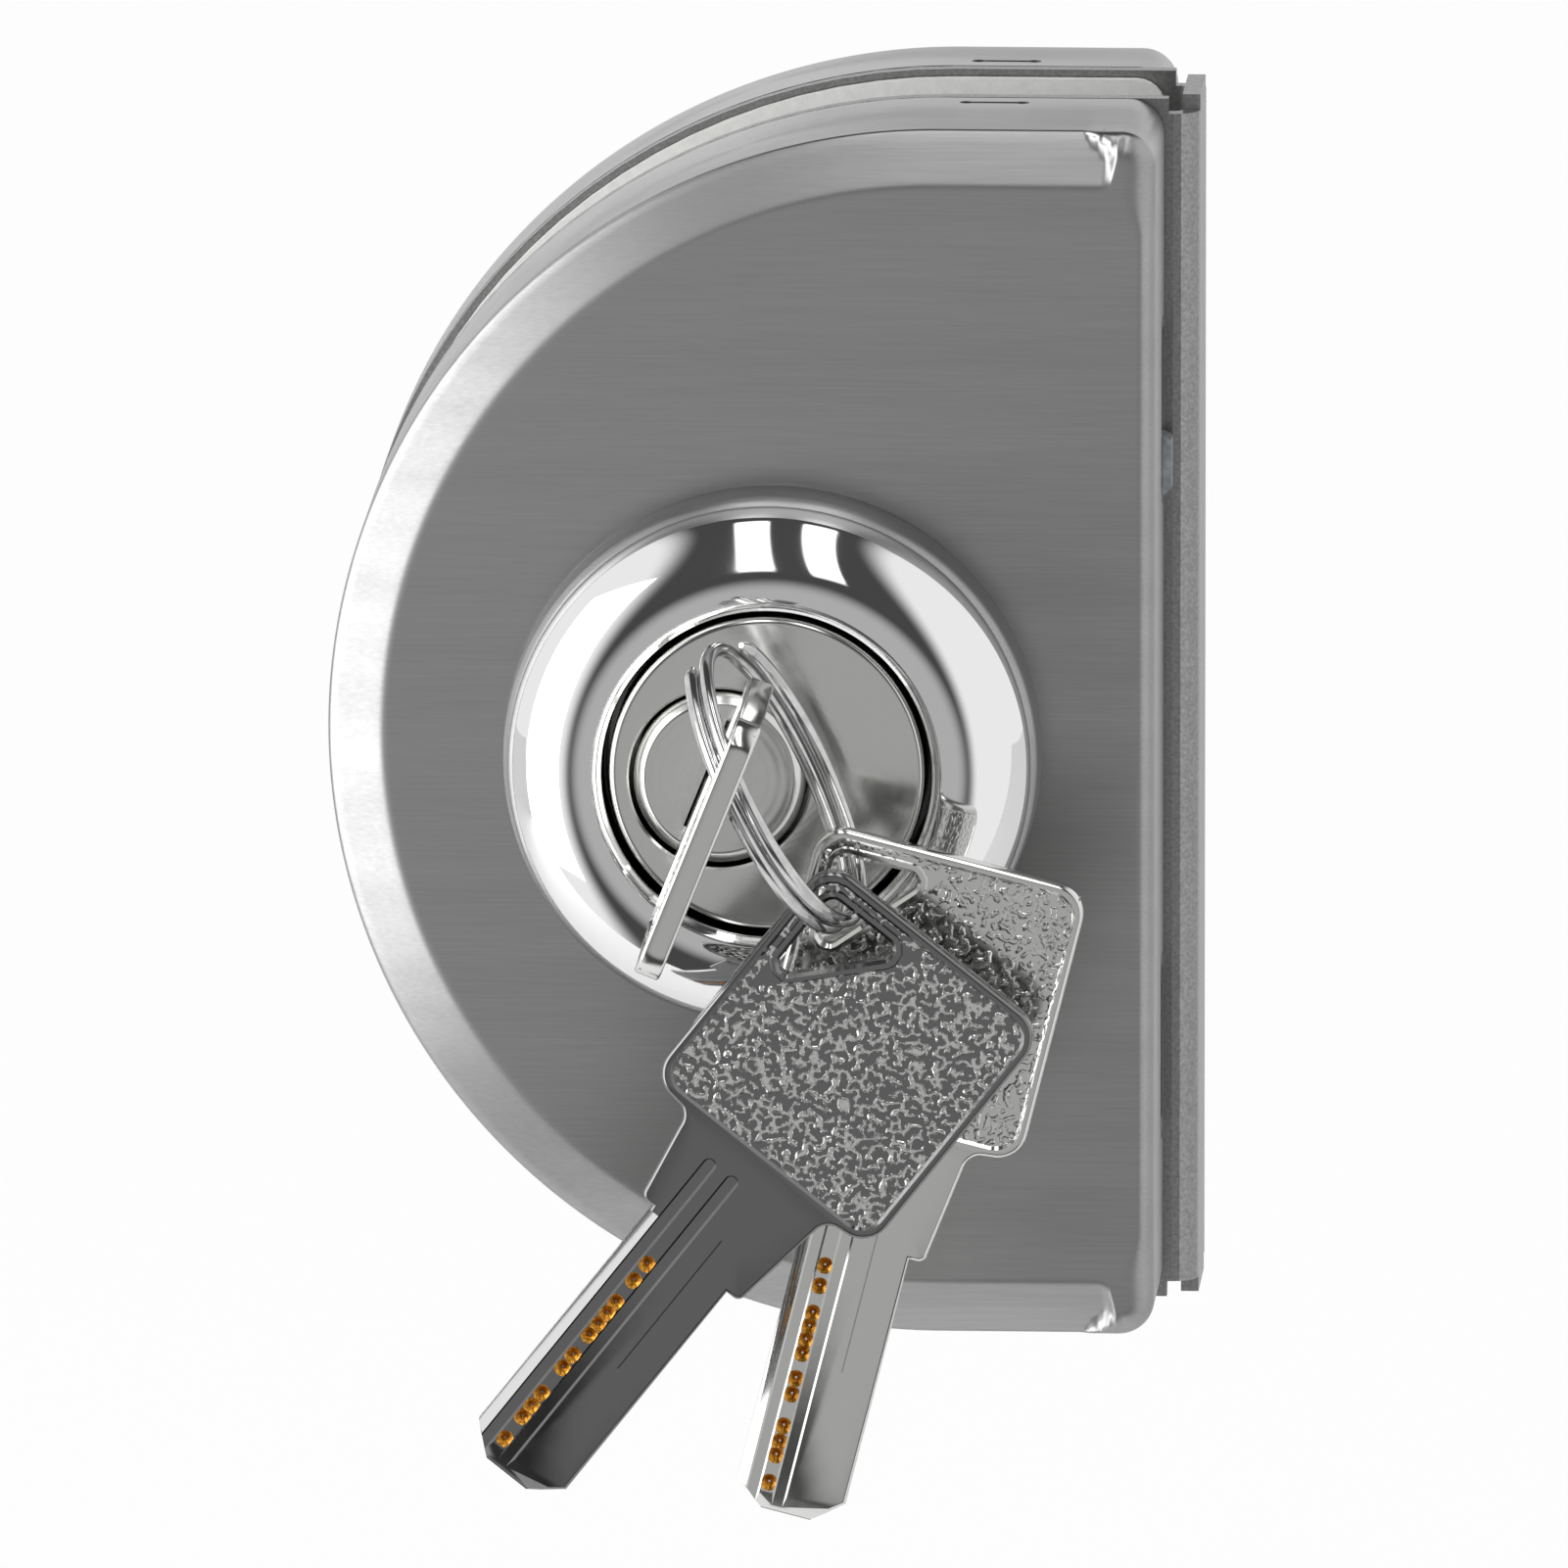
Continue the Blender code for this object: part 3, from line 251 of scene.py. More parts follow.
# %% Chrome and nickel
def bright_plate(name, base, roughness, spacing, depth):
    """Mirror plating with a faint waviness."""
    material, tree = start_material(name, base)
    place = add(tree, "ShaderNodeTexCoord").outputs["Object"]
    wave = add(tree, "ShaderNodeTexNoise",
               {"Vector": place, "Scale": per_mm(spacing), "Detail": 1.0})
    rough = add(tree, "ShaderNodeMapRange",
                {"Value": wave, "From Min": 0.3, "From Max": 0.7, "To Min": roughness,
                 "To Max": roughness + 0.03})
    bump = add(tree, "ShaderNodeBump", {"Height": wave, "Distance": depth})
    shader = add(tree, "ShaderNodeBsdfPrincipled",
                 {"Base Color": colour(base), "Metallic": 1.0, "Roughness": rough, "Normal": bump})
    add(tree, "ShaderNodeOutputMaterial", {"Surface": shader})
    return material


chrome = bright_plate("bright_chrome_plate", "#e8e8e8", 0.03, 6.0, 0.004 * MM)
key_nickel = bright_plate("bright_nickel_plate", "#d8d8d6", 0.1, 2.0, 0.01 * MM)
pebbled = bright_plate("pebbled_nickel_plate", "#e4e4e2", 0.16, 0.3, 0.03 * MM)
# painted dark reflection: the front key's plating colour is darkened to stand in for the dark front
# of the room that its flats mirror
painted_reflection_nickel = bright_plate("nickel_plate_painted_dark_reflection", "#7e7e7e", 0.14, 2.0, 0.01 * MM)
print("bright:", [material.name for material in (chrome, key_nickel, pebbled, painted_reflection_nickel)])

# %% [markdown]
# ## Turned nickel
#
# The cylinder and its plug are faced on a lathe and nickel plated. The tool leaves rings round
# the axis, which catch the light as fine circles. Real ones are about a tenth of a millimetre
# apart, too fine for the render, so they are drawn half to nearly one millimetre apart.

# %% Faced nickel plate
def faced_nickel(name, base, centre, roughness, pitch, depth):
    """Nickel with turning marks round an axis along Y."""
    material, tree = start_material(name, base)
    place = add(tree, "ShaderNodeTexCoord").outputs["Object"]
    offset = add(tree, "ShaderNodeVectorMath", {0: place, 1: (centre.x, 0.0, centre.z)},
                 operation="SUBTRACT")
    flat = add(tree, "ShaderNodeVectorMath", {0: offset, 1: (1.0, 0.0, 1.0)},
               operation="MULTIPLY")
    radius = add(tree, "ShaderNodeVectorMath", {0: flat}, operation="LENGTH").outputs["Value"]
    phase = add(tree, "ShaderNodeMath", {0: radius, 1: math.tau / pitch}, operation="MULTIPLY")
    line = add(tree, "ShaderNodeMath", {0: phase}, operation="SINE")
    uneven = add(tree, "ShaderNodeTexNoise",
                 {"Vector": place, "Scale": per_mm(2.8), "Detail": 2.0})
    marks = add(tree, "ShaderNodeMath", {0: line, 1: uneven}, operation="MULTIPLY")
    rough = add(tree, "ShaderNodeMapRange",
                {"Value": uneven, "From Min": 0.3, "From Max": 0.7, "To Min": roughness,
                 "To Max": roughness + 0.05})
    bump = add(tree, "ShaderNodeBump", {"Height": marks, "Distance": depth})
    shader = add(tree, "ShaderNodeBsdfPrincipled",
                 {"Base Color": colour(base), "Metallic": 1.0, "Roughness": rough, "Normal": bump})
    add(tree, "ShaderNodeOutputMaterial", {"Surface": shader})
    return material


body_nickel = faced_nickel("faced_nickel_plate", "#d4d4d2", rose, 0.12, 0.5 * MM, 0.0006 * MM)
plug_nickel = faced_nickel("turned_nickel_plate", "#d4d4d2", plug, 0.14, 0.9 * MM, 0.005 * MM)
print("faced:", body_nickel.name, plug_nickel.name)

# %% [markdown]
# ## Rubber pads
#
# The pads on the glass are milky silicone rubber, moulded and matt. Rubber isn't a metal, and
# its index of refraction is a little over one and a half.

# %% Silicone rubber
def moulded_rubber(name, base, dark):
    """Matt rubber with a faint bloom."""
    material, tree = start_material(name, base)
    place = add(tree, "ShaderNodeTexCoord").outputs["Object"]
    bloom = add(tree, "ShaderNodeTexNoise", {"Vector": place, "Scale": per_mm(0.8), "Detail": 3.0})
    tone = add(tree, "ShaderNodeMix", {"Factor": bloom, "A": colour(dark), "B": colour(base)},
               data_type="RGBA")
    bump = add(tree, "ShaderNodeBump", {"Height": bloom, "Distance": 0.02 * MM})
    shader = add(tree, "ShaderNodeBsdfPrincipled",
                 {"Base Color": tone, "Roughness": 0.6, "IOR": 1.52, "Normal": bump})
    add(tree, "ShaderNodeOutputMaterial", {"Surface": shader})
    return material


pads = moulded_rubber("milky_silicone_rubber", "#e8e8e6", "#cfcfcd")
print("rubber:", pads.name)

# %% [markdown]
# ## Give every CAD node its material
#
# Each node of the frame gets the finish of the real piece, also where a detailed piece will
# stand in front of it or where only a look inside the lock shows it.

# %% Node materials
NODE_MATERIALS = {
    "front_cover": satin, "rear_cover": satin, "clamp_frame": rolled, "front_gasket": pads,
    "rear_gasket": pads, "front_clip_top": sprung, "front_clip_bottom": sprung,
    "rear_clip_top": sprung, "rear_clip_bottom": sprung, "clamp_screw_1": zinc,
    "clamp_screw_2": zinc, "clamp_screw_3": zinc, "clamp_screw_4": zinc, "rose_collar": satin,
    "rose_dome": chrome, "cylinder_body": body_nickel, "cylinder_nut": ground,
    "cylinder_plug": plug_nickel, "drive_pinion": ground, "pinion_clip": sprung,
    "rack_slide": ground, "slide_rivet_lower": zinc, "slide_rivet_upper": zinc,
    "hook_bolt": zinc, "hook_pivot": zinc, "key_in_lock": key_nickel, "split_ring": wire,
    # the front key's darker plating is a painted dark reflection
    "key_front": painted_reflection_nickel, "key_back": key_nickel,
}
for name, piece in frame["nodes"].items():
    piece.data.materials.clear()
    piece.data.materials.append(NODE_MATERIALS[name])
print("nodes with a material:", len(NODE_MATERIALS))

# %% [markdown]
# ## Detailed pieces
#
# The solids of the frame have flat facets, which a mirror finish would show. So the bright and
# the pressed pieces are made again here with many more steps, at the same places and sizes.
# A finished piece rides on the body of the solid that it stands for.

# %% Mesh helpers
def mesh_from(bm, name):
    """The mesh of a finished bmesh."""
    mesh = bpy.data.meshes.new(name)
    bm.to_mesh(mesh)
    bm.free()
    return mesh


def into_scene(name, data):
    """A new object with this mesh or lamp, in the scene."""
    piece = bpy.data.objects.new(name, data)
    bpy.context.scene.collection.objects.link(piece)
    return piece


def skin(bm, rings):
    """Faces between each ring of points and the next."""
    count = len(rings[0])
    for one, two in zip(rings, rings[1:]):
        for i in range(count):
            bm.faces.new((one[i], one[(i + 1) % count], two[(i + 1) % count], two[i]))


# %% [markdown]
# ## Outlines, lofts and cuts
#
# Outlines are lists of (x, z) points that run anticlockwise. A loft skins a few of them into a
# solid, and cuts are worked out together when a piece is settled.

# %% Outlines, lofts and cuts
def arc(centre, radius, start, end, steps):
    """Points of an arc, both ends included, angles in degrees from +X towards +Z."""
    angles = [math.radians(start + (end - start) * i / steps) for i in range(steps + 1)]
    return [(centre[0] + radius * math.cos(a), centre[1] + radius * math.sin(a)) for a in angles]


def rectangle(left, right, low, high):
    """The four corners of an upright rectangle."""
    return [(left, low), (right, low), (right, high), (left, high)]


def rounded(corners, radius, steps=6):
    """Round the corners of an outline."""
    points = []
    for i, corner in enumerate(corners):
        here = Vector(corner)
        before = (Vector(corners[i - 1]) - here).normalized()
        after = (Vector(corners[(i + 1) % len(corners)]) - here).normalized()
        half = math.acos(max(-1.0, min(1.0, before.dot(after)))) / 2
        centre = here + (before + after).normalized() * (radius / math.sin(half))
        start = here + before * (radius / math.tan(half)) - centre
        end = here + after * (radius / math.tan(half)) - centre
        for step in range(steps + 1):
            points.append(tuple(centre + start.lerp(end, step / steps).normalized() * radius))
    return points


def offset(outline, distance):
    """The outline with each side moved outwards."""
    moved = []
    for i, point in enumerate(outline):
        here = Vector(point)
        before = (here - Vector(outline[i - 1])).normalized()
        after = (Vector(outline[(i + 1) % len(outline)]) - here).normalized()
        after_out = Vector((after.y, -after.x))
        out = (Vector((before.y, -before.x)) + after_out).normalized()
        moved.append(tuple(here + out * (distance / max(0.5, out.dot(after_out)))))
    return moved


def loft(name, sections):
    """A closed solid through outlines of (x, z) points, each at its own y."""
    bm = bmesh.new()
    rings = [[bm.verts.new((x, y, z)) for x, z in outline] for outline, y in sections]
    bm.faces.new(rings[0])
    bm.faces.new(rings[-1])
    skin(bm, rings)
    bmesh.ops.recalc_face_normals(bm, faces=bm.faces)
    return into_scene(name, mesh_from(bm, name))


def cut(piece, tool):
    """Take the tool out of the piece."""
    modifier = piece.modifiers.new(tool.name, "BOOLEAN")
    modifier.operation = "DIFFERENCE"
    modifier.object = tool


def settle(piece, tools):
    """The piece's mesh with its cuts worked out; the piece and its tools are removed."""
    worked = piece.evaluated_get(bpy.context.evaluated_depsgraph_get())
    mesh = bpy.data.meshes.new_from_object(worked)
    for item in [piece, *tools]:
        bpy.data.objects.remove(item)
    return mesh


def finish_piece(name, mesh, node, materials, sharp=35.0):
    """Turn a mesh into a smooth piece that stands for one node of the frame."""
    while len(mesh.materials) < len(materials):
        mesh.materials.append(None)
    for slot, material in enumerate(materials):
        mesh.materials[slot] = material
    mesh.shade_smooth()
    mesh.set_sharp_from_angle(angle=math.radians(sharp))
    piece = into_scene(name, mesh)
    body = next(body for body, nodes in frame["record"]["behaviour"]["bodies"].items()
                if node in nodes)
    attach(piece, body)
    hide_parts(node)
    print(f"{name}: {len(mesh.polygons)} faces")


# %% [markdown]
# ## Turned forms
#
# The rose, the cylinder and the plug are turned parts. Each is one loop of (radius, y) points
# carried round an axis along Y.

# %% Turned forms
TURN_STEPS = 256
ON_AXIS = 1e-7                       # a radius under this lies on the axis


def turned(profile, centre):
    """A mesh turned from a closed loop of (radius, y) points about an axis along Y."""
    bm = bmesh.new()
    rings = []
    for radius, y in profile:
        steps = TURN_STEPS if radius > ON_AXIS else 1
        angles = [math.tau * i / TURN_STEPS for i in range(steps)]
        rings.append([bm.verts.new((centre.x + radius * math.cos(angle), y,
                                    centre.z + radius * math.sin(angle))) for angle in angles])
    for one, two in zip(rings, rings[1:] + rings[:1]):
        if len(one) == 1 and len(two) == 1:
            continue
        for i in range(TURN_STEPS):
            corners = [one[i % len(one)], one[(i + 1) % len(one)], two[(i + 1) % len(two)],
                       two[i % len(two)]]
            bm.faces.new(dict.fromkeys(corners))
    bmesh.ops.recalc_face_normals(bm, faces=bm.faces)
    return mesh_from(bm, "turned")


def soften(corners, radius, steps=5):
    """The closed profile with round corners; the ones on the axis stay sharp."""
    points = []
    for i, corner in enumerate(corners):
        here = Vector(corner)
        before = Vector(corners[i - 1]) - here
        after = Vector(corners[(i + 1) % len(corners)]) - here
        reach = min(radius, before.length / 2.2, after.length / 2.2)
        if here.x < ON_AXIS:
            points.append(tuple(here))
            continue
        start = here + before.normalized() * reach
        end = here + after.normalized() * reach
        for t in (step / steps for step in range(steps + 1)):
            points.append(tuple(start * (1 - t) ** 2 + here * (2 * t * (1 - t)) + end * t ** 2))
    return points


# %% [markdown]
# ## The rose
#
# The dome is pressed from thin metal and chrome plated: a quarter of an ellipse turned round
# the rose's axis, with a thin bright lip at its crest and a step down to the cylinder. The
# satin collar under it is turned. Many fine steps keep the mirror smooth.

# %% Dome and collar
LIP_RADIUS = 14.9 * MM
BORE = 13.9 * MM
dome_low, dome_high = (Vector(corner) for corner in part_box("rose_dome"))
collar_low, collar_high = (Vector(corner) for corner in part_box("rose_collar"))
DOME_STEPS = 40
DOME_RADIUS = (dome_high.x - dome_low.x) / 2
COLLAR_RADIUS = (collar_high.x - collar_low.x) / 2
CREST = dome_low.y


def build_dome():
    """Chrome dome: outer edge, quarter ellipse, lip and bore."""
    rim = 0.5 * MM
    width = DOME_RADIUS - LIP_RADIUS
    rise = dome_high.y - rim - CREST
    profile = [(BORE, dome_high.y), (DOME_RADIUS - 0.3 * MM, dome_high.y),
               (DOME_RADIUS, dome_high.y - 0.3 * MM)]
    for step in range(DOME_STEPS + 1):
        angle = math.pi / 2 * step / DOME_STEPS
        profile.append((LIP_RADIUS + width * math.cos(angle),
                        dome_high.y - rim - rise * math.sin(angle)))
    profile += [(LIP_RADIUS - 0.25 * MM, CREST + 0.02 * MM),
                (LIP_RADIUS - 0.5 * MM, CREST + 0.16 * MM),
                (LIP_RADIUS - 0.62 * MM, CREST + 0.42 * MM),
                (BORE + 0.12 * MM, CREST + 0.6 * MM), (BORE, CREST + 0.9 * MM)]
    finish_piece("dome", turned(profile, rose), "rose_dome", [chrome], 30.0)


def build_collar():
    """Satin collar under the dome."""
    corners = [(BORE, collar_high.y), (COLLAR_RADIUS, collar_high.y),
               (COLLAR_RADIUS - 0.15 * MM, collar_low.y + 0.9 * MM),
               (COLLAR_RADIUS - 0.9 * MM, collar_low.y), (BORE, collar_low.y)]
    mesh = turned(soften(corners, 0.5 * MM), rose)
    finish_piece("collar", mesh, "rose_collar", [satin], 30.0)


build_dome()
build_collar()

# %% [markdown]
# ## The cylinder and its plug
#
# The cylinder is a round bar with an off-centre bore for the plug. Its face has a soft edge,
# and the plug's edge has a wide bevel that shows as a bright ring. The keyway is cut at the
# lean at which the key stands.

# %% Cylinder and plug
KEY_LEAN = math.radians(22.0)
KEY_THICK = 2.2 * MM
PLUG_BEVEL = 0.95 * MM
PLUG_GAP = 0.3 * MM
PLUG_PROUD = 1.9 * MM                # the plug's back stands behind the cylinder's
TAIL_RADIUS = 1.9 * MM
body_low, body_high = (Vector(corner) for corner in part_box("cylinder_body"))
BODY_RADIUS = (body_high.x - body_low.x) / 2
FACE = body_low.y
plug_low, plug_high = (Vector(corner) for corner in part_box("cylinder_plug"))
PLUG_RADIUS = (plug_high.x - plug_low.x) / 2
KEYWAY_LONG = 9.8 * MM
KEYWAY_WIDE = 2.6 * MM
BORE_STEPS = 128


def round_outline(radius):
    """A circle round the plug's axis."""
    return arc((plug.x, plug.z), radius, 0, 360 - 360 / BORE_STEPS, BORE_STEPS - 1)


def build_cylinder():
    """The cylinder's body with the bore for the plug."""
    corners = [(0, body_high.y), (BODY_RADIUS, body_high.y), (BODY_RADIUS, FACE), (0, FACE)]
    body = into_scene("body", turned(soften(corners, 0.7 * MM), rose))
    bore = PLUG_RADIUS + PLUG_GAP
    tool = loft("bore", [(round_outline(bore), body_high.y + MM),
                         (round_outline(bore), FACE + 0.2 * MM),
                         (round_outline(bore + 0.4 * MM), FACE - 0.2 * MM)])
    cut(body, tool)
    finish_piece("cylinder", settle(body, [tool]), "cylinder_body", [body_nickel], 30.0)


def build_plug():
    """The plug with its bevelled edge and keyway."""
    back_y = body_high.y + PLUG_PROUD
    corners = [(0, plug_high.y), (TAIL_RADIUS, plug_high.y), (TAIL_RADIUS, back_y),
               (PLUG_RADIUS, back_y), (PLUG_RADIUS, FACE + 0.7 * MM),
               (PLUG_RADIUS - PLUG_BEVEL, FACE), (0, FACE)]
    body = into_scene("plug", turned(soften(corners, 0.2 * MM, 3), plug))
    slot = rectangle(-KEYWAY_WIDE / 2, KEYWAY_WIDE / 2, -KEYWAY_LONG / 2, KEYWAY_LONG / 2)
    tool = loft("keyway", [(slot, FACE - MM), (slot, body_high.y)])
    tool.matrix_world = (Matrix.Translation((plug.x, 0, plug.z))
                         @ Matrix.Rotation(KEY_LEAN, 4, "Y"))
    cut(body, tool)
    finish_piece("plug", settle(body, [tool]), "cylinder_plug", [plug_nickel], 30.0)


build_cylinder()
build_plug()
print("cylinder and plug across in mm:", [round(2 * r / MM, 1) for r in (BODY_RADIUS, PLUG_RADIUS)])

# %% [markdown]
# ## The pressed covers
#
# Each cover is one pressed sheet. Round its curved side runs a flat bevel with a crisp outer
# edge and a soft inner one; the straight side only has a small rounding. Near the corners the
# bevel ends in a rounded step, and the rounding widens a little. The outline runs once round
# with close points near the corners, and each of its points has the whole section of the edge.

# %% Cover outline
SHEET = 1.5 * MM
CORNER = 3.0 * MM
cover_low, cover_high = (Vector(corner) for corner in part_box("front_cover"))
RADIUS = cover_high.z
REACH = cover_high.x
BEVEL_WIDTH = 4.7 * MM
BEVEL_DEPTH = 1.6 * MM
EDGE_ROUND = 1.6 * MM
REAR_ROUND = 2.3 * MM
SECTION = 12                         # steps of the edge's section
BEVEL_SOFT = 0.4 * MM                # rounding of the bevel's two edges
# the bevel's end near each corner, and how the straight side's rounding widens there
END_BACK = 0.5 * MM                  # from the start of the corner
END_NARROWS = 0.42                   # share of its width that the bevel loses
END_NARROWING = 0.9 * MM             # length over which it does
END_TIP = 0.45                       # share of the bevel that reaches furthest
END_CURL_OUT = 2.2 * MM              # the outer edge ends this much sooner
END_CURL_IN = 0.7 * MM               # and the inner edge this much
END_BEFORE = 0.8 * MM                # the step up starts this far before the end
END_AFTER = 0.5 * MM                 # and is done this far past it
WIDER_FROM = 9.0 * MM                # below the top
WIDEST_AT = 4.9 * MM
WIDEST = 2.9 * MM
LESS_AT_CORNER = 0.25 * MM


def cover_outline():
    """Points of the upper half's outline, each with its inward direction."""
    centre = Vector((REACH - CORNER, RADIUS - CORNER))
    points = []
    side = [0.0, 0.3, 0.6] + [0.8 + 0.01 * i for i in range(20)]
    for share in side:
        points.append((Vector((REACH, share * centre.y)), Vector((-1, 0))))
    for point in arc(centre, CORNER, 0, 84, 12):
        points.append((Vector(point), (centre - Vector(point)).normalized()))
    top = [centre.x - 0.1 * MM - 0.1 * MM * i for i in range(42)]
    top += [top[-1] * share for share in (0.85, 0.65, 0.45, 0.25, 0.1)]
    for x in top:
        points.append((Vector((x, RADIUS)), Vector((0, -1))))
    for point in arc((0, 0), RADIUS, 90, 180, 90):
        points.append((Vector(point), -Vector(point).normalized()))
    return points


def smooth(low, high, value):
    """0 below low, 1 above high and a soft change between."""
    t = max(0.0, min(1.0, (value - low) / (high - low)))
    return t * t * (3 - 2 * t)


def edge_round(place, radius):
    """Width of the straight side's rounding, a little wider near the corners."""
    rise = smooth(RADIUS - WIDER_FROM, RADIUS - WIDEST_AT, place.y)
    fall = smooth(RADIUS - WIDEST_AT, RADIUS - CORNER, place.y)
    return radius + rise * (WIDEST - radius) - fall * LESS_AT_CORNER


def section(place, wall, depth, bevelled, radius):
    """The edge's section at one point of the outline, as (inset, height) points."""
    turn = [math.pi / 2 * i / SECTION for i in range(SECTION + 1)]
    if not bevelled or place.x > REACH - CORNER:
        width = edge_round(place, radius) if bevelled else radius
        points = [(width * (1 - math.cos(a)), wall + depth * math.sin(a)) for a in turn]
    else:
        corner = soften([(MM, wall - 2 * MM), (MM, wall), (MM + BEVEL_WIDTH, wall + depth),
                         (MM + 2 * BEVEL_WIDTH, wall + depth)], BEVEL_SOFT, 3)[4:12]
        slope = [(x - MM, y) for x, y in corner]
        start, end = slope[3], slope[4]
        between = [tuple(Vector(start).lerp(Vector(end), share)) for share in
                   (0.15, 0.35, 0.55, 0.75, 0.9)]
        points = []
        short = 1 - END_NARROWS * smooth(REACH - CORNER - END_NARROWING, REACH - CORNER, place.x)
        for inset, height in slope[:4] + between + slope[4:]:
            share = inset / BEVEL_WIDTH
            end_x = REACH - CORNER - END_BACK
            if share < END_TIP:
                end_x -= END_CURL_OUT * (1 - share / END_TIP) ** 2
            else:
                end_x -= END_CURL_IN * ((share - END_TIP) / (1 - END_TIP)) ** 2
            raised = smooth(end_x - END_BEFORE, end_x + END_AFTER, place.x)
            part = min(inset * short / EDGE_ROUND, 1.0)
            strip = wall + depth * math.sqrt(1 - (1 - part) ** 2) if inset > 0 else height
            points.append((inset * short, height + (strip - height) * raised))
    last = points[-1][0]
    return points + [(last + 0.08 * MM, wall + depth), (last + 0.25 * MM, wall + depth)]


def pressed_cover(name, rim_y, wall, depth, way, bevelled, radius):
    """A pressed sheet cover; way is -1 where it faces the viewer and 1 where it faces away."""
    upper = cover_outline()
    outline = [(p, n, section(p, wall, depth, bevelled, radius)) for p, n in upper]
    lower = [(Vector((p.x, -p.y)), Vector((n.x, -n.y)), s) for p, n, s in outline[1:-1]]
    outline += lower[::-1]
    bm = bmesh.new()
    rings = [[bm.verts.new((p.x, rim_y, p.y)) for p, n, s in outline]]
    for level in range(len(outline[0][2])):
        ring = []
        for p, n, s in outline:
            inset, height = s[level]
            spot = p + n * inset
            ring.append(bm.verts.new((spot.x, rim_y + way * height, spot.y)))
        rings.append(ring)
    skin(bm, rings)
    face = bm.faces.new(rings[-1])
    bmesh.ops.recalc_face_normals(bm, faces=bm.faces)
    if face.normal.y * way < 0:
        bmesh.ops.reverse_faces(bm, faces=bm.faces)
    cover = into_scene(name, mesh_from(bm, name))
    shell = cover.modifiers.new("sheet", "SOLIDIFY")
    shell.thickness = SHEET
    shell.offset = -1
    return cover


# %% [markdown]
# ## Slots and slits
#
# The straight wall has two long slots for the hook bolt, and the walls at the top and bottom
# have a lanced slit each, with a small round hole at both ends where the lancing stops.

# %% Cuts in the covers
SLIT_X = 4.1 * MM
SLIT_LENGTH = 5.9 * MM
SLIT_HEIGHT = 0.8 * MM
SLIT_HOLE = 0.6 * MM
SLIT_FROM_RIM = 2.4 * MM
SLOT_WIDTH = 4.6 * MM
SLOT_LENGTH = 16.2 * MM
SLOT_MIDDLES = (25.5 * MM, -29.3 * MM)
SLOT_Y = joint_at["hook"].y
UPRIGHT = Matrix.Rotation(math.radians(90), 4, "X")
ACROSS = Matrix.Rotation(math.radians(90), 4, "Z")


def slit_outline():
    """A narrow slit with a round hole at both ends."""
    half = SLIT_HEIGHT / 2
    start = math.degrees(math.asin(half / SLIT_HOLE))
    end = SLIT_LENGTH / 2 - SLIT_HOLE
    points = arc((end, 0), SLIT_HOLE, start - 180, 180 - start, 16)
    return points + arc((-end, 0), SLIT_HOLE, start, 360 - start, 16)


def slit_tools(rim_y, way):
    """Cutters for the slits at the top and bottom of one cover."""
    tools = []
    for side in (1, -1):
        tool = loft(f"slit_{side}", [(slit_outline(), -3 * MM), (slit_outline(), 3 * MM)])
        place = (SLIT_X, rim_y + way * SLIT_FROM_RIM, side * RADIUS)
        tool.matrix_world = Matrix.Translation(place) @ UPRIGHT
        tools.append(tool)
    return tools


def slot_tools():
    """Cutters for the two bolt slots."""
    tools = []
    half = SLOT_LENGTH / 2 - SLOT_WIDTH / 2
    for z in SLOT_MIDDLES:
        outline = (arc((0, half), SLOT_WIDTH / 2, 0, 180, 12)
                   + arc((0, -half), SLOT_WIDTH / 2, 180, 360, 12))
        tool = loft("slot", [(outline, -3 * MM), (outline, 3 * MM)])
        tool.matrix_world = Matrix.Translation((REACH, SLOT_Y, z)) @ ACROSS
        tools.append(tool)
    return tools


def finish_cover(cover, tools, node):
    """Cut the cover with its tools and put it in the scene."""
    for tool in tools:
        cut(cover, tool)
    name = cover.name.removeprefix("made_")
    finish_piece(name, settle(cover, tools), node, [satin], 80.0)


rear_low, rear_high = (Vector(corner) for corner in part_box("rear_cover"))
FRONT_RIM = cover_high.y
REAR_RIM = rear_low.y
front_wall = FRONT_RIM - cover_low.y - BEVEL_DEPTH
rear_wall = rear_high.y - REAR_RIM - REAR_ROUND
front_shell = pressed_cover("made_front_shell", FRONT_RIM, front_wall, BEVEL_DEPTH, -1, True,
                            EDGE_ROUND)
finish_cover(front_shell, slit_tools(FRONT_RIM, -1) + slot_tools(), "front_cover")
rear_shell = pressed_cover("made_rear_shell", REAR_RIM, rear_wall, REAR_ROUND, 1, False,
                           REAR_ROUND)
finish_cover(rear_shell, slit_tools(REAR_RIM, 1), "rear_cover")
print("front and rear wall in mm:", round(front_wall / MM, 1), round(rear_wall / MM, 1))

# %% [markdown]
# ## The split ring
#
# The ring is spring wire wound nearly twice round, so two strands lie side by side. The helix
# is worked out from the same plane as the solid's: its low side leans to the right, and it
# passes through the key in the lock at that joint's place.

# %% Split ring
WIRE = 1.25 * MM
RING_RADIUS = 12.6 * MM
RING_PITCH = 1.35 * MM
RING_TURNS = 1.9
RING_STEPS = 160
RING_SIDES = 16
RING_LEAN = math.radians(27.0)
RING_BEGIN = math.radians(205.0)
RING_IN_KEY = math.radians(111.0)

down = Vector((math.sin(RING_LEAN), 0.0, -math.cos(RING_LEAN)))
near = Vector((-0.2, -0.95, 0.1))
near = (near - down * near.dot(down)).normalized()
to_key = down * math.cos(RING_IN_KEY) + near * math.sin(RING_IN_KEY)
ring_centre = joint_at["ring"] - to_key * RING_RADIUS


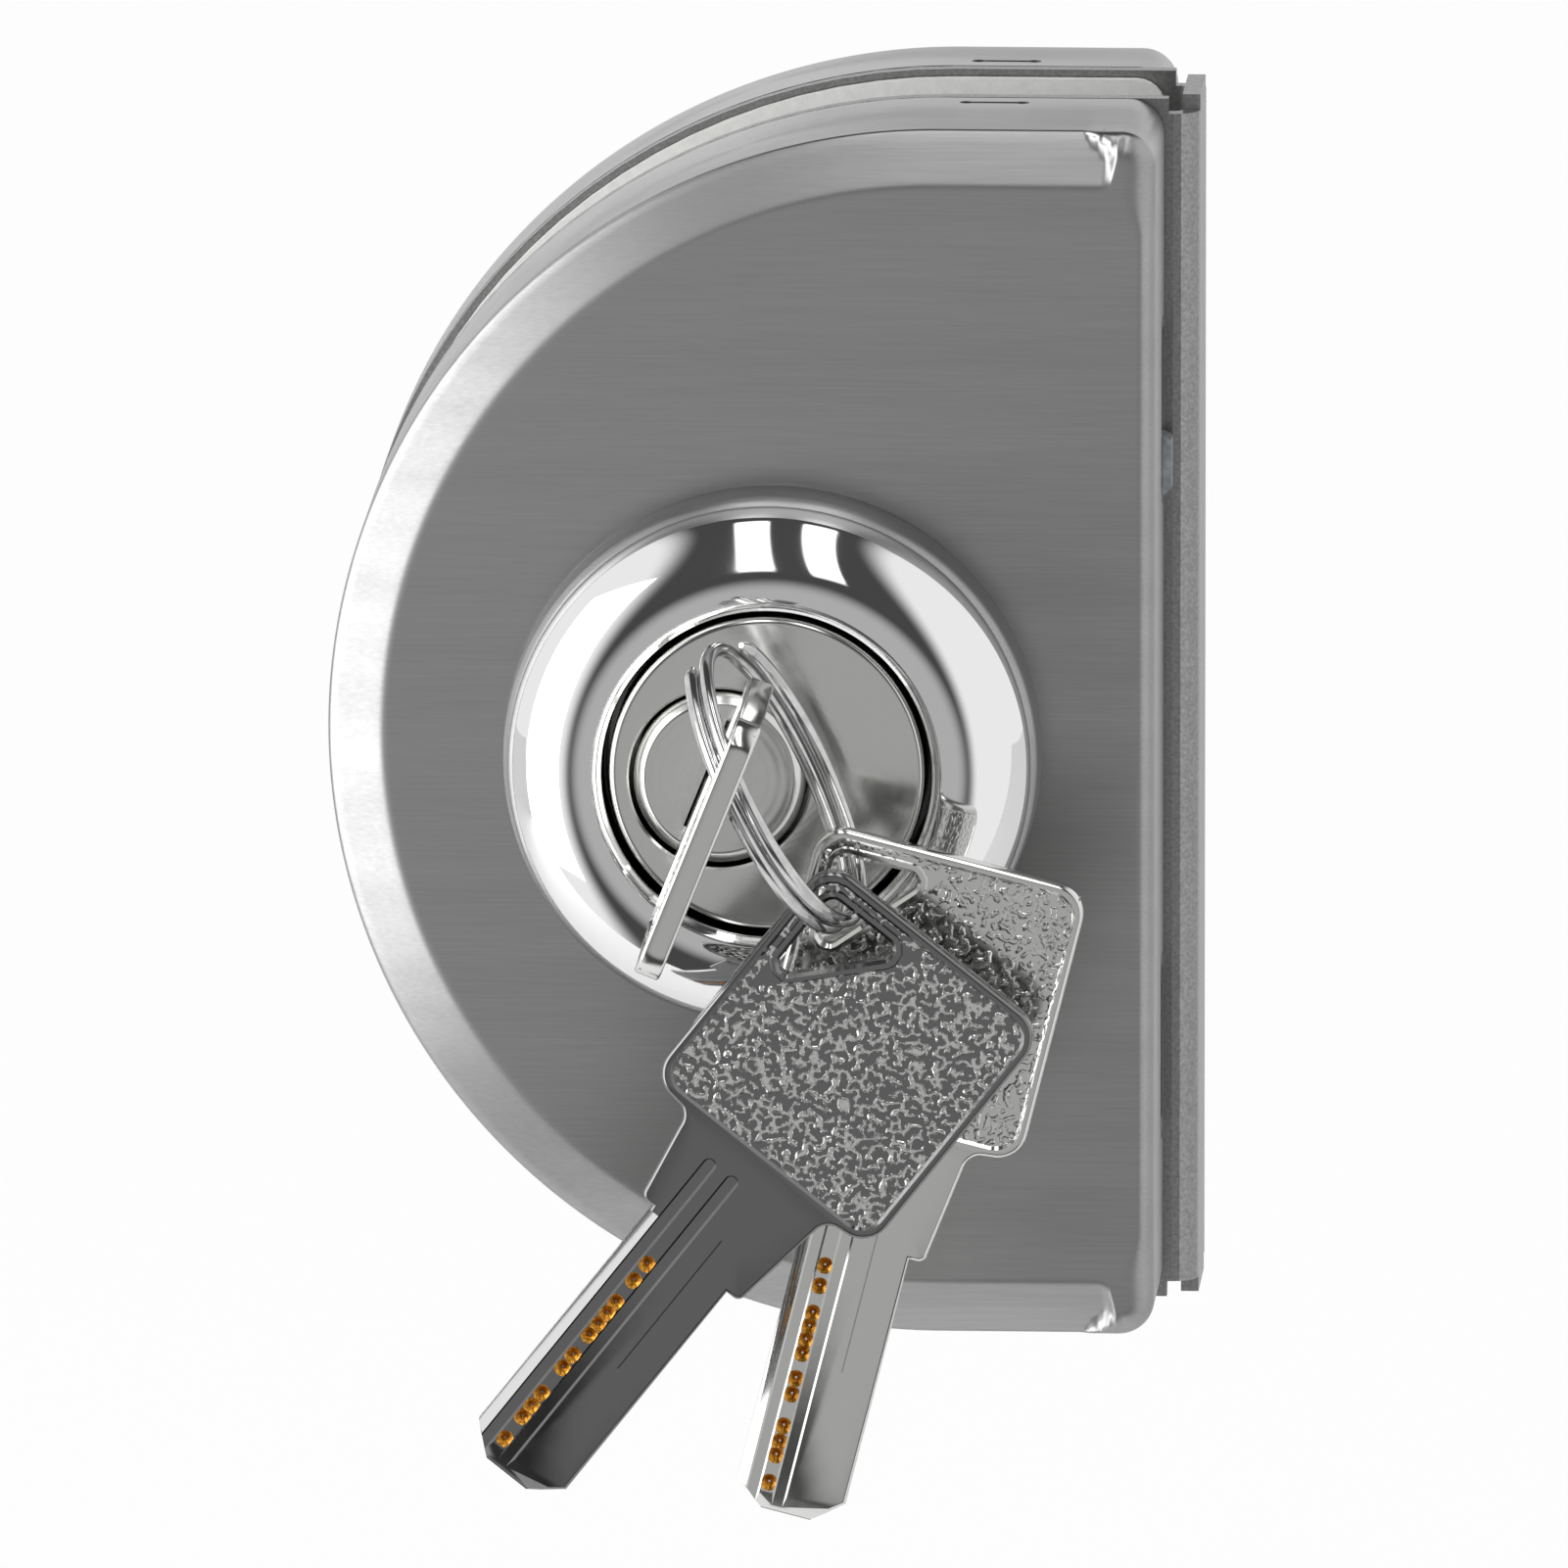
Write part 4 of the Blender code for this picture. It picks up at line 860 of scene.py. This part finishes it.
def build_ring():
    """Round wire swept along the helix, with ground down ends."""
    side = down.cross(near)
    bm = bmesh.new()
    rings = []
    count = round(RING_STEPS * RING_TURNS)
    for i in range(count + 1):
        angle = RING_BEGIN + math.tau * i / RING_STEPS
        outward = down * math.cos(angle) + near * math.sin(angle)
        along = RING_PITCH * (i / RING_STEPS - RING_TURNS / 2)
        centre = ring_centre + outward * RING_RADIUS + side * along
        ring = []
        thickness = WIRE / 2 * min(1.0, 0.4 + 0.2 * min(i, count - i))
        for step in range(RING_SIDES):
            turn = math.tau * step / RING_SIDES
            ring.append(bm.verts.new(centre + (outward * math.cos(turn) + side * math.sin(turn))
                                     * thickness))
        rings.append(ring)
    skin(bm, rings)
    bm.faces.new(rings[0])
    bm.faces.new(rings[-1])
    bmesh.ops.recalc_face_normals(bm, faces=bm.faces)
    finish_piece("ring", mesh_from(bm, "ring"), "split_ring", [wire], 50.0)


build_ring()

# %% [markdown]
# ## The keys
#
# A key is milled from nickel-plated brass. Its edges are a little rounded, a raised rim runs
# round the head and round the three-cornered hole, and the panel between them is cast with
# fine pebbles. Two grooves run down each face, and the row of pits that the cylinder's pins
# fall into shows the bare brass. One key is made flat, with X across it and Z along it, and
# the same mesh is put in the lock and on the ring twice.

# %% Key sizes and outline
HEAD_WIDTH = 23.4 * MM
HEAD_LENGTH = 24.0 * MM
HEAD_CORNER = 2.6 * MM
HEAD_RIM = 0.9 * MM
PANEL_DEPTH = 0.3 * MM
NECK_TOP = 14.4 * MM
NECK_FOOT = 12.2 * MM
NECK_LENGTH = 8.3 * MM
SHOULDER_STEP = 1.9 * MM
BLADE_WIDTH = 9.4 * MM
BLADE_LENGTH = 25.8 * MM
BLADE_TIP = 2.2 * MM
EDGE = 0.3 * MM
HOLE_MARGIN = 2.15 * MM
HOLE_LONG = 9.2 * MM
HOLE_SHORT = 8.2 * MM
HOLE_CORNER = 0.9 * MM
HOLE_RIM = 0.75 * MM
NECK_FILLET = 1.6 * MM
FOOT_ROUND = 0.7 * MM
SHOULDER = -HEAD_LENGTH - NECK_LENGTH
TIP = SHOULDER - BLADE_LENGTH
half = KEY_THICK / 2


def key_outline():
    """The key seen flat, anticlockwise from the head's right side; the tip is at the bottom."""
    head = HEAD_WIDTH / 2
    neck = NECK_TOP / 2
    foot = NECK_FOOT / 2
    blade = BLADE_WIDTH / 2
    lower = SHOULDER - SHOULDER_STEP
    points = arc((head - HEAD_CORNER, -HEAD_CORNER), HEAD_CORNER, 0, 90, 10)
    points += arc((HEAD_CORNER - head, -HEAD_CORNER), HEAD_CORNER, 90, 180, 10)
    points += arc((HEAD_CORNER - head, HEAD_CORNER - HEAD_LENGTH), HEAD_CORNER, 180, 256, 9)
    points += arc((-neck - NECK_FILLET, -HEAD_LENGTH - NECK_FILLET), NECK_FILLET, 70, 0, 8)
    points += arc((-foot + FOOT_ROUND, SHOULDER + FOOT_ROUND), FOOT_ROUND, 180, 270, 6)
    points += [(-blade, SHOULDER), (-blade, TIP + BLADE_TIP), (-blade * 0.45, TIP)]
    points += [(blade * 0.45, TIP), (blade, TIP + BLADE_TIP), (blade, lower)]
    points += arc((foot - FOOT_ROUND, lower + FOOT_ROUND), FOOT_ROUND, 270, 360, 6)
    points += arc((neck + NECK_FILLET, -HEAD_LENGTH - NECK_FILLET), NECK_FILLET, 180, 110, 8)
    points += arc((head - HEAD_CORNER, HEAD_CORNER - HEAD_LENGTH), HEAD_CORNER, 284, 360, 9)
    return points


def panel_corners(margin=0.0):
    """Corners of the sunk panel, anticlockwise."""
    x = HEAD_WIDTH / 2 - HEAD_RIM + margin
    top = -HEAD_RIM + margin
    bottom = -HEAD_LENGTH + HEAD_RIM - margin
    return [(x, top), (-x, top), (-x, bottom), (x, bottom)]


def hole_corners(margin=0.0):
    """Corners of the ring hole near the head's upper left corner, anticlockwise."""
    x = -HEAD_WIDTH / 2 + HOLE_MARGIN - margin
    z = -HOLE_MARGIN + margin
    far = margin * (2 + math.sqrt(2))
    return [(x, z), (x, z - HOLE_LONG - far), (x + HOLE_SHORT + far, z)]


def mirrored(outline, way):
    """The outline as the face with this way sees it: both faces have the same look."""
    return outline if way < 0 else [(-x, z) for x, z in reversed(outline)]


# %% [markdown]
# ## Cutters of the key
#
# Every cutter is a loft whose outline widens towards the face, so the sides of its cut slope.
# Both faces of the key get the same cuts.

# %% Cutters of the key
GROOVE_TOP = -HEAD_LENGTH - 2.6 * MM
GROOVES = (-3.2 * MM, -0.85 * MM)
GROOVE_WIDTH = 1.1 * MM
GROOVE_DEPTH = 0.5 * MM
PIT_LINE = -2.0 * MM
# millimetres from the shoulder
PITS = (4.2, 6.0, 8.4, 9.6, 10.8, 12.0, 14.2, 15.6, 18.4, 19.8, 21.0, 23.4)
PIT_RADIUS = 0.72 * MM
PIT_DEPTH = 0.55 * MM
PIT_STEPS = 24


def panel_tool(way):
    """Cutter for the sunk panel on one face, which spares the rim of the hole."""
    face = way * half
    panel = rounded(panel_corners(), HEAD_CORNER - HEAD_RIM + 0.2 * MM)
    spare = rounded(hole_corners(HOLE_RIM), HOLE_CORNER + HOLE_RIM)
    tool = loft("panel", [(panel, face - way * PANEL_DEPTH),
                          (offset(panel, 0.35 * MM), face + way * 0.1 * MM)])
    island = loft("island", [(offset(spare, 0.2 * MM), face - way * 2 * PANEL_DEPTH),
                             (offset(spare, -0.15 * MM), face + way * 0.2 * MM)])
    cut(tool, island)
    return tool, island


def groove_tools(way):
    """Cutters for the two grooves, the fine line and the sloped edges of one face."""
    face = way * half
    tools = []
    for middle in GROOVES:
        outline = arc((middle, GROOVE_TOP), GROOVE_WIDTH / 2, 0, 180, 10)
        outline += [(middle - GROOVE_WIDTH / 2, TIP - MM), (middle + GROOVE_WIDTH / 2, TIP - MM)]
        outline = mirrored(outline, way)
        tools.append(loft("groove", [(offset(outline, -0.12 * MM), face - way * GROOVE_DEPTH),
                                     (offset(outline, 0.1 * MM), face + way * 0.1 * MM)]))
    line = mirrored(rectangle(1.6 * MM, 1.66 * MM, -45 * MM, -31 * MM), way)
    tools.append(loft("line", [(offset(line, -0.02 * MM), face - way * 0.08 * MM),
                               (offset(line, 0.05 * MM), face + way * 0.05 * MM)]))
    left = -BLADE_WIDTH / 2
    top = SHOULDER - 0.4 * MM
    deep = rectangle(left - MM, left + 0.05 * MM, TIP - MM, top)
    shallow = rectangle(left - MM, left + 0.95 * MM, TIP - MM, top)
    tools.append(loft("slope", [(mirrored(deep, way), face - way * 0.55 * MM),
                                (mirrored(shallow, way), face + way * 0.02 * MM)]))
    deep = rectangle(-BLADE_WIDTH, BLADE_WIDTH, TIP - MM, TIP + 0.1 * MM)
    shallow = rectangle(-BLADE_WIDTH, BLADE_WIDTH, TIP - MM, TIP + 1.5 * MM)
    tools.append(loft("tip", [(deep, face - way * 0.7 * MM), (shallow, face + way * 0.02 * MM)]))
    return tools


def pit_places(way):
    """Middles of the pits on one face."""
    return [(PIT_LINE * -way, SHOULDER - distance * MM) for distance in PITS]


def pit_tools(way):
    """Conical cutters for the pits of one face."""
    face = way * half
    tools = []
    for x, z in pit_places(way):
        wide, point = (arc((x, z), radius, 0, 360 - 360 / PIT_STEPS, PIT_STEPS - 1)
                       for radius in (PIT_RADIUS + 0.1 * MM, 0.1 * MM))
        tools.append(loft("pit", [(point, face - way * PIT_DEPTH), (wide, face + way * 0.08 * MM)]))
    return tools


# %% [markdown]
# ## Pebbles
#
# The pebbles are worm-shaped bumps about half a millimetre apart. Each panel gets a fine grid
# whose points go up and down by a noise of that size. Where they dip, the flat ground of the
# body shows between the bumps. The grid reaches a little under the rims, so its edge never
# shows, and it is closed below to stay a solid.

# %% Pebbled panel
GRID = 0.16 * MM
PEBBLE = 0.5 * MM
PEBBLE_HEIGHT = 0.1 * MM
BEND_SCALE = 0.7                     # of the noise that bends the bumps into worms
BEND = 0.5
STEEPNESS = 2.0
PANEL_OVERLAP = 0.2 * MM             # how far the grid reaches under the rims and into the body
PEBBLE_SEED = 1
noise.seed_set(PEBBLE_SEED)          # without it the noise vector follows the clock


def inside(point, corners):
    """True where a point lies inside an anticlockwise convex outline."""
    return all((bx - ax) * (point[1] - az) - (bz - az) * (point[0] - ax) > 0
               for (ax, az), (bx, bz) in zip(corners, corners[1:] + corners[:1]))


def pebbled_mesh(way):
    """The pebbled ground of one panel, as a thin closed solid."""
    panel = panel_corners(PANEL_OVERLAP)
    spare = hole_corners(HOLE_RIM - 0.25 * MM)
    level = half - PANEL_DEPTH
    columns = round((panel[0][0] - panel[1][0]) / GRID)
    rows = round((panel[0][1] - panel[2][1]) / GRID)
    bm = bmesh.new()
    grid = {}
    for i in range(columns + 1):
        for j in range(rows + 1):
            x = panel[1][0] + i * GRID
            z = panel[2][1] + j * GRID
            if inside((x, z), spare):
                continue
            spot = Vector((x, z, way)) / PEBBLE
            bend = noise.noise_vector(spot * BEND_SCALE) * BEND
            worm = math.tanh(STEEPNESS * noise.noise(spot + bend))
            y = way * (level + PEBBLE_HEIGHT * worm)
            grid[i, j] = bm.verts.new((x, y, z))
    for i, j in grid:
        corners = [(i, j), (i + 1, j), (i + 1, j + 1), (i, j + 1)]
        if all(corner in grid for corner in corners):
            bm.faces.new([grid[corner] for corner in corners])
    rim = [edge for edge in bm.edges if edge.is_boundary]
    grown = bmesh.ops.extrude_edge_only(bm, edges=rim)["geom"]
    low = [item for item in grown if isinstance(item, bmesh.types.BMVert)]
    for vert in low:
        vert.co.y = way * (level - PANEL_OVERLAP)
    lower_rim = [item for item in grown if isinstance(item, bmesh.types.BMEdge)]
    bmesh.ops.triangle_fill(bm, edges=lower_rim, use_beauty=False)
    bmesh.ops.recalc_face_normals(bm, faces=bm.faces)
    return mesh_from(bm, "pebbles")


# %% [markdown]
# ## One flat key
#
# The body is cut, and its pebbled panels are added. The sloping faces inside the pits get the
# brass, the grids the pebbled plating and the rest the plating of the key's flats.

# %% One flat key
NICKEL, PEBBLES, BRASS = range(3)    # material slots of a key


def key_body():
    """The key's body with rounded edges and all its cuts."""
    outline = key_outline()
    turn = [math.radians(angle) for angle in (0, 30, 60, 90)]
    sections = [(offset(outline, -EDGE * (1 - math.sin(a))), -half + EDGE * (1 - math.cos(a)))
                for a in turn]
    sections += [(points, -y) for points, y in sections[::-1]]
    body = loft("key", sections)
    hole = rounded(hole_corners(), HOLE_CORNER)
    tools = [loft("hole", [(offset(hole, 0.45 * MM), -half - 0.15 * MM),
                           (hole, -half + 0.3 * MM), (hole, half - 0.3 * MM),
                           (offset(hole, 0.45 * MM), half + 0.15 * MM)])]
    islands = []
    for way in (-1, 1):
        panel, island = panel_tool(way)
        islands.append(island)
        tools += [panel, *groove_tools(way), *pit_tools(way)]
    for tool in tools:
        cut(body, tool)
    return settle(body, tools + islands)


def flat_key():
    """The whole key: its body, its pebbled panels and the brass of its pits."""
    bm = bmesh.new()
    bm.from_mesh(key_body())
    for face in bm.faces:
        face.material_index = NICKEL
        place = face.calc_center_median()
        way = 1 if place.y > 0 else -1
        deep = half - 0.02 * MM > abs(place.y)
        near_pit = any(math.hypot(place.x - x, place.z - z) < PIT_RADIUS * 0.98
                       for x, z in pit_places(way))
        if deep and near_pit and abs(face.normal.y) < 0.9:
            face.material_index = BRASS
    for way in (-1, 1):
        start = len(bm.faces)
        pebbles = pebbled_mesh(way)
        bm.from_mesh(pebbles)
        bm.faces.ensure_lookup_table()
        for face in bm.faces[start:]:
            face.material_index = PEBBLES
        bpy.data.meshes.remove(pebbles)
    return mesh_from(bm, "flat_key")


def place_key(name, node, placement, plate):
    """A copy of the flat key in its place, with its plating; the front key's is darkened by a
    painted reflection.
    """
    mesh = key_mesh.copy()
    mesh.name = name
    mesh.transform(placement)
    finish_piece(name, mesh, node, [plate, pebbled, brass], 38.0)


key_mesh = flat_key()
# the body, its lean and where the wire passes in the hole, from the hole's corner
HANGING = {"key_front": ("front_key", math.radians(38.5), (2.1 * MM, 1.6 * MM)),
           "key_back": ("back_key", math.radians(14.2), (1.7 * MM, 2.6 * MM))}
# turns the flat key so that it points into the lock, edge on
LAY_IN = Matrix(((0, 1, 0, 0), (0, 0, -1, 0), (-1, 0, 0, 0), (0, 0, 0, 1)))
key_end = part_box("key_in_lock")[0][1]
home = (Matrix.Translation((plug.x, key_end, plug.z)) @ Matrix.Rotation(KEY_LEAN, 4, "Y")
        @ LAY_IN)
place_key("standing_key", "key_in_lock", home, key_nickel)
for node, (body, lean, spot) in HANGING.items():
    hangs_at = Vector((-HEAD_WIDTH / 2 + HOLE_MARGIN + spot[0], 0, -HOLE_MARGIN - spot[1]))
    place_key("hanging_" + node, node,
              Matrix.Translation(joint_at[body]) @ Matrix.Rotation(lean, 4, "Y")
              @ Matrix.Translation(-hangs_at), NODE_MATERIALS[node])
print("key length in mm:", round(-TIP / MM, 1))

# %% [markdown]
# ## Light tent
#
# The tent is white at the sides, behind and below. In front it has a dark opening for the
# camera, with a grey patch level with the lens that lights the flat faces. Two tall windows
# run up from there to the top, and the dome shows them as a pair of square lights. What the
# camera sees directly is plain white.

# %% World
WINDOWS = (-0.125, 0.2)              # middles of the two windows, left and right of upright
WINDOW_HALF = 0.08
WINDOW_STRENGTH = 3.0
DARK = 0.07                          # brightness of the opening
PATCH = 0.5                          # brightness of the grey patch


def build_world():
    """The tent as a world that changes with direction."""
    world = bpy.data.worlds.new("light_tent")
    world.use_nodes = True
    tree = world.node_tree
    tree.nodes.clear()
    direction = add(tree, "ShaderNodeTexCoord").outputs["Generated"]
    parts = add(tree, "ShaderNodeSeparateXYZ", {"Vector": direction}).outputs
    sideways = add(tree, "ShaderNodeMath", {0: parts["X"]}, operation="ABSOLUTE")
    side, rear, low, below = (
        add(tree, "ShaderNodeMapRange", {"Value": value, "From Min": dark, "From Max": light},
            interpolation_type="SMOOTHSTEP")
        for value, dark, light in ((sideways, 0.36, 0.56), (parts["Y"], -0.15, 0.3),
                                   (parts["Z"], 0.6, 0.35), (parts["Z"], -0.72, -0.9)))
    behind = add(tree, "ShaderNodeMath", {0: rear, 1: low}, operation="MULTIPLY")
    walls = add(tree, "ShaderNodeMath", {0: side, 1: behind}, operation="MAXIMUM")
    tent = add(tree, "ShaderNodeMath", {0: walls, 1: below}, operation="MAXIMUM")
    level = add(tree, "ShaderNodeVectorMath", {0: direction, 1: (0.0, -0.98, -0.18)},
                operation="DOT_PRODUCT").outputs["Value"]
    patch = add(tree, "ShaderNodeMapRange",
                {"Value": level, "From Min": 0.90, "From Max": 0.98, "To Min": DARK,
                 "To Max": PATCH}, interpolation_type="SMOOTHSTEP")
    room = add(tree, "ShaderNodeMix", {"Factor": tent, "A": patch, "B": 1.0})
    reach = add(tree, "ShaderNodeMath", {0: parts["Z"], 1: 0.6, 2: 0.4}, operation="MULTIPLY_ADD")
    across = add(tree, "ShaderNodeMath", {0: parts["X"], 1: reach}, operation="DIVIDE")
    panes = []
    for pane in WINDOWS:
        away = add(tree, "ShaderNodeMath", {0: across, 1: pane}, operation="SUBTRACT")
        away = add(tree, "ShaderNodeMath", {0: away}, operation="ABSOLUTE")
        panes.append(add(tree, "ShaderNodeMapRange",
                         {"Value": away, "From Min": WINDOW_HALF + 0.01,
                          "From Max": WINDOW_HALF - 0.01}))
    both = add(tree, "ShaderNodeMath", {0: panes[0], 1: panes[1]}, operation="MAXIMUM")
    high = add(tree, "ShaderNodeMapRange", {"Value": parts["Z"], "From Min": 0.34, "From Max": 0.42})
    ahead = add(tree, "ShaderNodeMapRange", {"Value": parts["Y"], "From Min": 0.2, "From Max": 0.1})
    gate = add(tree, "ShaderNodeMath", {0: high, 1: ahead}, operation="MULTIPLY")
    shine = add(tree, "ShaderNodeMath", {0: both, 1: gate}, operation="MULTIPLY")
    strength = add(tree, "ShaderNodeMath", {0: shine, 1: WINDOW_STRENGTH, 2: room},
                   operation="MULTIPLY_ADD")
    seen = add(tree, "ShaderNodeLightPath").outputs["Is Camera Ray"]
    lit = add(tree, "ShaderNodeBackground", {"Strength": strength, "Color": (1, 1, 1, 1)})
    white = add(tree, "ShaderNodeBackground", {"Strength": 1.0, "Color": (1, 1, 1, 1)})
    mixed = add(tree, "ShaderNodeMixShader", {0: seen, 1: lit, 2: white})
    add(tree, "ShaderNodeOutputWorld", {"Surface": mixed})
    bpy.context.scene.world = world
    print("world:", world.name, "with", len(tree.nodes), "nodes")


build_world()

# %% [markdown]
# ## Soft lamp
#
# A broad box close at the left brightens the left of the front cover.

# %% Lamp
def softbox(name, direction, distance, width, height, radiance):
    """An area lamp of a known brightness that looks at the lock."""
    lamp = bpy.data.lights.new(name, "AREA")
    lamp.shape = "RECTANGLE"
    lamp.size = width
    lamp.size_y = height
    lamp.energy = radiance * math.pi * width * height
    piece = into_scene(name, lamp)
    away = Vector(direction).normalized()
    piece.location = AIM + away * distance
    piece.rotation_euler = away.to_track_quat("Z", "Y").to_euler()


softbox("side_left", (-1.0, -0.6, 0.1), 0.3, 0.25, 0.4, 2.6)

# %% [markdown]
# ## Floor
#
# The photograph's ground is plain white. The floor is pale paper that takes the lock's soft
# shadow, and to the camera most of it is white by itself.

# %% Floor
FLOOR_Z = -0.125
FLOOR_SIDE = 2.5
FLOOR_NEAR = -0.12
FLOOR_FAR = 4.0
WHITE_SHARE = 0.93                   # how much of the floor is plain white to the camera


def build_floor():
    """A plain pale floor under and behind the lock."""
    bm = bmesh.new()
    corners = rectangle(-FLOOR_SIDE, FLOOR_SIDE, FLOOR_NEAR, FLOOR_FAR)
    bm.faces.new([bm.verts.new((x, y, FLOOR_Z)) for x, y in corners])
    floor = into_scene("floor", mesh_from(bm, "floor"))
    material, tree = start_material("pale_paper", "#fafafa")
    paper = add(tree, "ShaderNodeBsdfDiffuse", {"Color": colour("#fafafa")})
    white = add(tree, "ShaderNodeEmission", {"Color": (1, 1, 1, 1), "Strength": 1.0})
    seen = add(tree, "ShaderNodeLightPath").outputs["Is Camera Ray"]
    share = add(tree, "ShaderNodeMath", {0: seen, 1: WHITE_SHARE}, operation="MULTIPLY")
    mixed = add(tree, "ShaderNodeMixShader", {0: share, 1: paper, 2: white})
    add(tree, "ShaderNodeOutputMaterial", {"Surface": mixed})
    floor.data.materials.append(material)
    print("floor at mm:", round(FLOOR_Z / MM))


build_floor()
